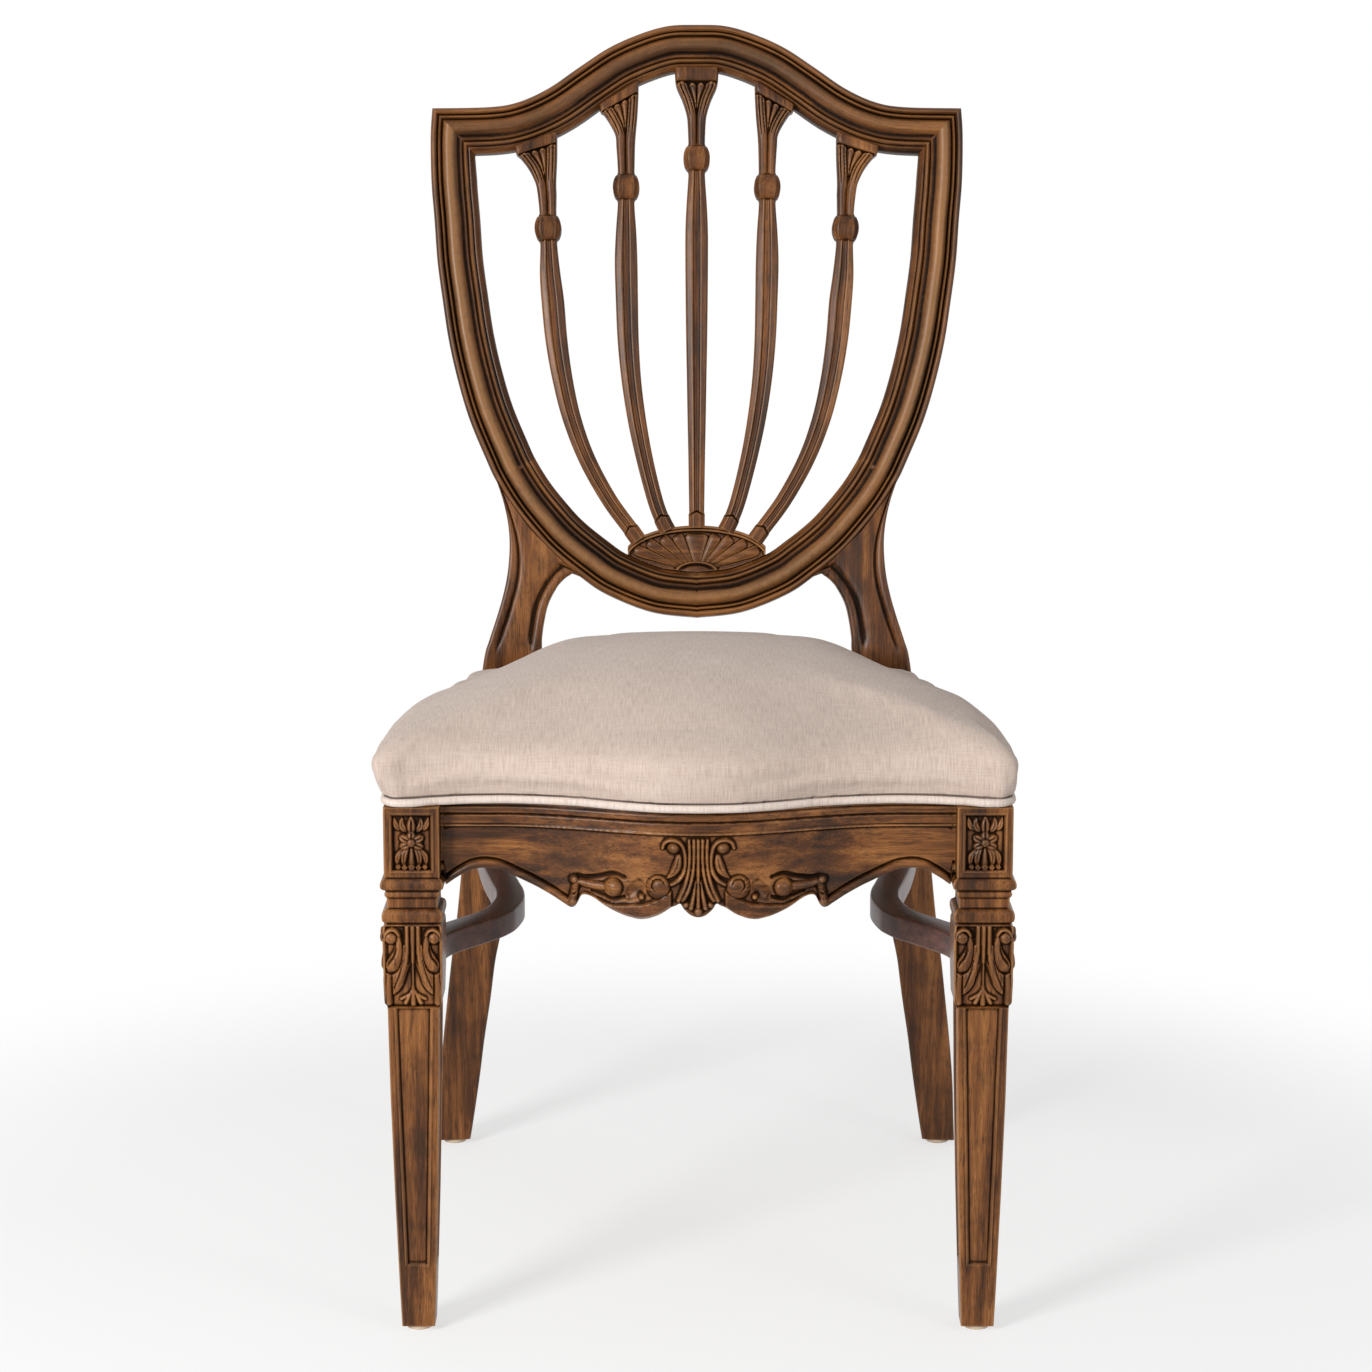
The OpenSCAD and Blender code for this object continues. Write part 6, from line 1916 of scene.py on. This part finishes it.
@dataclass(frozen=True)
class Seat:
    """The crowned cushion in its linen cover, with piping round its foot."""

    base: float = 404.8
    lift: float = 0.4
    mid_y: float = 200.0
    half: float = 242.4
    run: float = 400.0
    shoulder: float = 40.0
    oval_x: float = 0.97
    oval_y: float = 0.53
    sag: float = 19.0
    rim: float = 13.5
    spacing: float = 4.0
    aside: float = 2.4
    piping_r: float = 3.0
    piping_share: float = 0.945
    piping_end: float = 186.0
    voxel: float = 5.0
    movement: float = 3.6
    frames: int = 20

    def plan(self) -> Array:
        """The closed outline round the seat's middle, evenly spaced and softened."""
        half = np.array(SEAT_PLAN, float)
        loop = np.vstack([half, half[-2:0:-1] * [-1, 1], half[:1]])
        far = lengths(loop)
        count = int(far[-1] / self.spacing)
        at = np.linspace(0, far[-1], count, endpoint=False)
        even = np.column_stack([np.interp(at, far, loop[:, k]) for k in (0, 1)])
        for _ in range(2):
            even = (np.roll(even, 1, axis=0) + 2 * even + np.roll(even, -1, axis=0)) / 4
        return even - [0, self.mid_y]

    def shape(self) -> Array:
        """Rings of the cushion from its foot to its crown."""
        plan = self.plan()
        wide, deep = self.oval_x * self.half, self.oval_y * self.run
        angle = np.arctan2(plan[:, 1] / deep, plan[:, 0] / wide)
        oval = np.column_stack([wide * np.cos(angle), deep * np.sin(angle)])
        levels = spline(SEAT_LEVELS, 4)
        rings = []
        for share, height in levels:
            ease = 0.0 if height <= self.shoulder else min(1, max(0, (0.97 - share) / 0.6)) ** 1.2
            spot = blend(plan, oval, ease) * share
            x, y = spot[:, 0], spot[:, 1] + self.mid_y
            # The crown and the rim fall away towards the posts
            sag = self.sag * rise(np.abs(x), 90.0, 185.0) * rise(y, 130.0, 330.0)
            rim = self.rim * rise(np.abs(x), 158.0, 195.0) * rise(y, 170.0, 400.0)
            fall = np.maximum(sag * rise(height, 31.0, 54.0), rim * rise(height, 4.0, 34.0))
            level = self.base + self.lift + height - fall
            rings.append(xyz(x - self.aside * rise(height, 6.0, 30.0), y, level))
        return np.array(rings)

    def folds(self, points: Array) -> Array:
        """Small tension folds at the corners and the seam above the piping.

        Args:
            points: Points of the cushion, in the drawing space.

        Returns:
            How far each is pulled in, in millimetres.
        """
        x, y, h = np.abs(points[:, 0]), points[:, 1], points[:, 2] - self.base
        pull = np.zeros(len(points))
        low = 1 - rise(h, 20.0, 44.0)
        # Pleats at the front corners
        for cx, depth, width in ((214.0, 0.9, 4.0), (228.0, 1.3, 3.4)):
            pull += depth * low * hump(x - cx, width) * (y < 30)
        # Drag lines towards the posts
        for angle, depth in ((0.5, 1.2), (0.95, 1.5), (1.3, 1.0)):
            dx, dy = x - 150.0, 404.0 - y
            across = dx * math.cos(angle) - dy * math.sin(angle)
            along = dx * math.sin(angle) + dy * math.cos(angle)
            pull += depth * hump(across, 5.0) * rise(along, 0, 14) \
                * (1 - rise(along, 35.0, 85.0)) * rise(h, 30.0, 50.0)
        pull += 1.4 * hump(h - 6.6, 1.1)
        return pull

    def simulate(self, mesh: bpy.types.Mesh) -> bpy.types.Mesh:
        """Settles the cover over its filling.

        Args:
            mesh: The cushion, in metres.

        Returns:
            The settled mesh.
        """
        piece = linked("cushion_sim", mesh)
        remesh = piece.modifiers.new("remesh", "REMESH")
        remesh.mode = "VOXEL"
        remesh.voxel_size = self.voxel * MM
        ready = bpy.context.evaluated_depsgraph_get()
        even = bpy.data.meshes.new_from_object(piece.evaluated_get(ready))
        piece.modifiers.clear()
        piece.data = even
        rest = values_of(even.vertices, "co")
        height = rest[:, 2] / MM - self.base
        held = piece.vertex_groups.new(name="held")
        for i in np.nonzero(height < 13.0)[0]:
            held.add([int(i)], 1.0, "REPLACE")
        cloth = piece.modifiers.new("cloth", "CLOTH")
        for key, value in CLOTH.items():
            setattr(cloth.settings, key, value)
        cloth.settings.effector_weights.gravity = 0.0
        cloth.point_cache.frame_start = 1
        cloth.point_cache.frame_end = self.frames
        scene = bpy.context.scene
        for number in range(1, self.frames + 1):
            scene.frame_set(number)
        ready = bpy.context.evaluated_depsgraph_get()
        settled = bpy.data.meshes.new_from_object(piece.evaluated_get(ready))
        scene.frame_set(1)
        step = values_of(settled.vertices, "co") - rest
        size = np.linalg.norm(step, axis=1, keepdims=True)
        step *= np.minimum(1.0, self.movement * MM / np.maximum(size, 1e-9))
        step *= rise(height, 10.0, 24.0)[:, None]
        log.info("cushion settled by up to %.1f mm", float(size.max() / MM))
        settled.vertices.foreach_set("co", (rest + step).ravel())
        bpy.data.objects.remove(piece)
        return settled

    def cushion(self) -> None:
        """Makes the padded seat."""
        body = Body("padded_seat")
        body.grid(self.shape())
        mesh = body.mesh()
        with editing(mesh) as edit:
            bmesh.ops.recalc_face_normals(edit, faces=edit.faces)
        mesh = self.simulate(mesh)
        with editing(mesh) as edit:
            bmesh.ops.smooth_vert(edit, verts=edit.verts, factor=0.5, use_axis_x=True,
                                  use_axis_y=True, use_axis_z=True)
            bmesh.ops.subdivide_edges(edit, edges=edit.edges, cuts=1, use_grid_fill=True,
                                      smooth=1.0)
            edit.normal_update()
            for vert in edit.verts:
                vert.co.z = max(vert.co.z, (self.base + self.lift) * MM)
        spots, normals = values_of(mesh.vertices, "co"), values_of(mesh.vertices, "normal")
        pull = self.folds(spots / MM - [0, SET_BACK, 0])[:, None]
        mesh.vertices.foreach_set("co", (spots - normals * pull * MM).ravel())
        weave_box(mesh)
        piece = finished("padded_seat", mesh, LINEN.make(), weather=False)
        settle(piece, "linen", "seat_cover", "seat_foam")

    def piping(self) -> None:
        """The corded piping round the front and the sides, swept by a geometry tree."""
        plan = self.plan() * self.piping_share
        front = np.argmin(np.hypot(plan[:, 0], plan[:, 1] - plan[:, 1].min()))
        loop = np.roll(plan, len(plan) // 2 - front, axis=0)
        keep = loop[loop[:, 1] < self.piping_end * self.piping_share]
        side = edges_of(keep)
        outward = np.sign((side * keep).sum(1).mean())
        out = keep + side * (self.piping_r + 0.5) * outward
        points = xyz(out[:, 0], out[:, 1] + self.mid_y + SET_BACK, self.base + self.piping_r) * MM
        tree = Tree("sweep_round", {"Radius": "NodeSocketFloat", "Finish": "NodeSocketMaterial"})
        round_edge = tree.add("GeometryNodeCurvePrimitiveCircle", {}, {
            "Resolution": 16, "Radius": tree.given("Radius")})
        tree.sweep(round_edge.outputs[0])
        finish = PIPING.make()
        mesh = tree.apply("corded_piping", line_mesh("piping_line", points), {
            "Radius": self.piping_r * MM, "Finish": finish})
        weave_box(mesh)
        settle(finished("corded_piping", mesh, finish, weather=False), "piping", "seat_piping")

    def build(self) -> None:
        """Makes the cushion and its piping."""
        self.cushion()
        self.piping()


def weave_box(mesh: bpy.types.Mesh) -> None:
    """Stores cloth coordinates on face corners: across and down from the side each face shows.

    Args:
        mesh: The mesh, in metres.
    """
    totals = values_of(mesh.polygons, "loop_total", 1, int)
    facing = np.repeat(np.abs(values_of(mesh.polygons, "normal")), totals, axis=0)
    at = values_of(mesh.vertices, "co")[values_of(mesh.loops, "vertex_index", 1, int)]
    top = facing[:, 2] > 0.72
    flank = ~top & (facing[:, 0] > facing[:, 1])
    cloth = xyz(np.where(flank, at[:, 1], at[:, 0]), np.where(top, at[:, 1], at[:, 2]), 0.0)
    store(mesh, "weave", cloth, "CORNER")


@dataclass(frozen=True)
class Fastenings:
    """Glides under the feet, screws and the joints' hidden hardware."""

    glide_r: float = GLIDE_RADIUS
    glide_t: float = 3.9
    head_r: float = 4.0
    shank_r: float = 2.0

    def lathe(self, name: str, profile: Sequence[Sequence[float]], sides: int) -> bpy.types.Mesh:
        """A turned form round Z from a profile of radius and height, in millimetres."""
        turns = np.linspace(0, 2 * math.pi, sides, endpoint=False)
        line = np.array(profile, float)
        points = xyz(line[:, :1] * np.cos(turns), line[:, :1] * np.sin(turns), line[:, 1:])
        body = Body(name)
        body.grid(points)
        return body.mesh(back=0.0)

    def islands(self, node: str) -> list[Array]:
        """The corner points of each solid in a CAD node, in metres."""
        edit = bmesh.new()
        edit.from_mesh(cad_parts[node].data)
        bmesh.ops.remove_doubles(edit, verts=edit.verts, dist=1e-6)
        left = set(edit.verts)
        found = []
        while left:
            stack = [left.pop()]
            group = []
            while stack:
                vert = stack.pop()
                group.append(tuple(vert.co))
                for edge in vert.link_edges:
                    other = edge.other_vert(vert)
                    if other in left:
                        left.discard(other)
                        stack.append(other)
            found.append(np.array(group))
        edit.free()
        return found

    def glides(self) -> None:
        """Four round pads with eased rims."""
        r, t = self.glide_r, self.glide_t
        pad = self.lathe("pad", ((0.05, 0), (r - 1.4, 0), (r - 0.5, 0.4), (r, 1.3), (r, t - 0.5),
                                 (r - 0.4, t), (2.6, t), (2.5, t + 0.2), (2.5, t + 11.5),
                                 (0.05, t + 11.6)), 48)
        middles = [(i.min(axis=0) + i.max(axis=0)) / 2 for i in self.islands("foot_glides")]
        spots = sorted([(x, y, 0.0) for x, y, _ in middles], key=lambda spot: (spot[0] > 0, spot[1]))
        piece = stamped("floor_glides", pad, spots, [(0, 0, 0)] * len(spots), GLIDE_PLASTIC.make())
        settle(piece, "glide_plastic", "foot_glides")

    def screws(self, node: str) -> None:
        """Countersunk screws with a recess, where a CAD node has them."""
        groups = self.islands(node)
        size = max(np.ptp(groups[0], axis=0)) / MM
        h, s = self.head_r, self.shank_r
        head = self.lathe("screw", ((0.05, 0.9), (0.9, 0.8), (1.3, 0), (h - 0.2, 0), (h, 0.15),
                                    (s, 2.8), (s, size - 4), (s * 0.6, size - 1),
                                    (0.05, size - 0.1)), 28)
        spots, turns = [], []
        for group in groups:
            low, high = group.min(axis=0), group.max(axis=0)
            axis = int(np.argmax(high - low))
            middle = (low + high) / 2
            away = np.linalg.norm(np.delete(group - middle, axis, axis=1), axis=1)
            wide = group[away > away.max() * 0.9][:, axis].mean()
            forward = 1.0 if wide < middle[axis] else -1.0
            start = middle.copy()
            start[axis] = low[axis] if forward > 0 else high[axis]
            spots.append(start)
            quarter = math.pi / 2
            turns.append(((0, forward * quarter, 0), (-forward * quarter, 0, 0),
                          (0 if forward > 0 else math.pi, 0, 0))[axis])
        piece = stamped(f"steel_{node}", head, spots, turns, SCREW_STEEL.make())
        settle(piece, "screw_steel", node)

    def build(self) -> None:
        """Makes the glides and the screws, and dresses the hidden wood."""
        self.glides()
        self.screws("block_screws")
        self.screws("seat_screws")
        hidden = {"shield_dowels": Source.ALONG_Z, "rail_dowels": Source.ALONG_Y,
                  "brace_dowels": Source.ALONG_Y, "seat_board": Source.ALONG_X}
        hidden.update({f"corner_block_{end}_{side.word}": Source.ALONG_X
                       for end in ("front", "rear") for side in Side})
        for node, source in hidden.items():
            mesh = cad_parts[node].data
            mesh.materials.clear()
            mesh.materials.append(PLAIN_WOOD.make(source))


@dataclass(frozen=True)
class Studio:
    """White floor, soft lamps and the photograph's camera."""

    lens: float = 95.3
    sensor: float = 36.0
    place: tuple[float, float, float] = (-0.009, -2.851, 0.9559)
    pitch: float = 10.055
    world: float = 0.44
    bleach: float = 0.62
    floor_half: float = 9.0
    aim_z: float = 0.45
    lamp_size: float = 0.8

    def floor(self) -> None:
        """A pale floor that keeps the shadow and fades into the backdrop."""
        mesh = bpy.data.meshes.new("floor")
        size = self.floor_half
        mesh.from_pydata([(-size, -size, 0), (size, -size, 0), (size, size, 0), (-size, size, 0)],
                         [], [(0, 1, 2, 3)])
        piece = linked("floor", mesh)
        material = bpy.data.materials.new("floor")
        material.use_nodes = True
        graph = Graph(material.node_tree)
        spot = graph.term("ShaderNodeTexCoord", "Object", {}, {})
        far = graph.term("ShaderNodeVectorMath", "Value", {"operation": "LENGTH"}, {0: spot})
        matt = graph.add("ShaderNodeBsdfDiffuse", {}, {"Color": opaque((0.93, 0.93, 0.93))})
        white = graph.add("ShaderNodeEmission", {}, {"Strength": 1.0})
        pale = graph.add("ShaderNodeMixShader", {}, {
            0: self.seen(graph) * self.bleach, 1: matt.outputs[0], 2: white.outputs[0]})
        clear = graph.add("ShaderNodeBsdfTransparent")
        faded = graph.add("ShaderNodeMixShader", {}, {
            0: graph.step(far, 0.5, 1.0), 1: pale.outputs[0], 2: clear.outputs[0]})
        graph.add("ShaderNodeOutputMaterial", {}, {"Surface": faded.outputs[0]})
        mesh.materials.append(material)

    @staticmethod
    def seen(graph: Graph) -> Term:
        """1 for rays that show the stage itself: straight, mirrored or let through."""
        rays = [graph.term("ShaderNodeLightPath", f"Is {kind} Ray", {}, {})
                for kind in ("Camera", "Glossy", "Transmission")]
        return (rays[0] + rays[1] + rays[2]).clamp()

    def backdrop(self) -> None:
        """A white world, plain white where the camera sees it."""
        world = bpy.data.worlds.new("studio")
        bpy.context.scene.world = world
        world.use_nodes = True
        graph = Graph(world.node_tree)
        strength = self.seen(graph) * (1.0 - self.world) + self.world
        back = graph.add("ShaderNodeBackground", {}, {
            "Color": opaque((1.0, 1.0, 1.0)), "Strength": strength})
        graph.add("ShaderNodeOutputWorld", {}, {"Surface": back.outputs[0]})

    def lamp(self, name: str, place: Sequence[float], power: float) -> None:
        """A square area lamp that points at the chair."""
        light = bpy.data.lights.new(name, "AREA")
        light.shape = "SQUARE"
        light.size = self.lamp_size
        light.energy = power
        lamp = linked(name, light)
        lamp.location = place
        aim = np.array([0.0, 0.0, self.aim_z]) - np.array(place)
        flat = math.hypot(aim[0], aim[1])
        lamp.rotation_euler = (math.atan2(flat, -aim[2]), 0.0, math.atan2(-aim[0], aim[1]))

    def camera(self) -> None:
        """The photograph's view: close to the front, from a little above the seat."""
        data = bpy.data.cameras.new("photo")
        data.lens, data.sensor_width = self.lens, self.sensor
        camera = linked("photo", data)
        camera.location = self.place
        camera.rotation_euler = (math.radians(90.0 - self.pitch), 0.0, 0.0)
        bpy.context.scene.camera = camera

    def build(self) -> None:
        """Sets the stage."""
        scene = bpy.context.scene
        scene.view_settings.view_transform = "Standard"
        self.floor()
        self.backdrop()
        self.lamp("key", (-1.75, -2.3, 1.35), 74.0)
        self.lamp("fill", (2.1, -2.2, 1.15), 14.0)
        self.camera()


def main() -> None:
    """Builds the chair and its stage."""
    logging.basicConfig(level=logging.INFO, format="%(name)s: %(message)s")
    SHIELD.build()
    FAN.build()
    Splat(0).build()
    for side in Side:
        Splat(1).build(side)
        Splat(2).build(side)
        RearLeg(side).build()
        FrontLeg(side).build()
    FrontRail().build()
    SeatFrame().build()
    Seat().build()
    Fastenings().build()
    Studio().build()


if __name__ == "__main__":
    main()
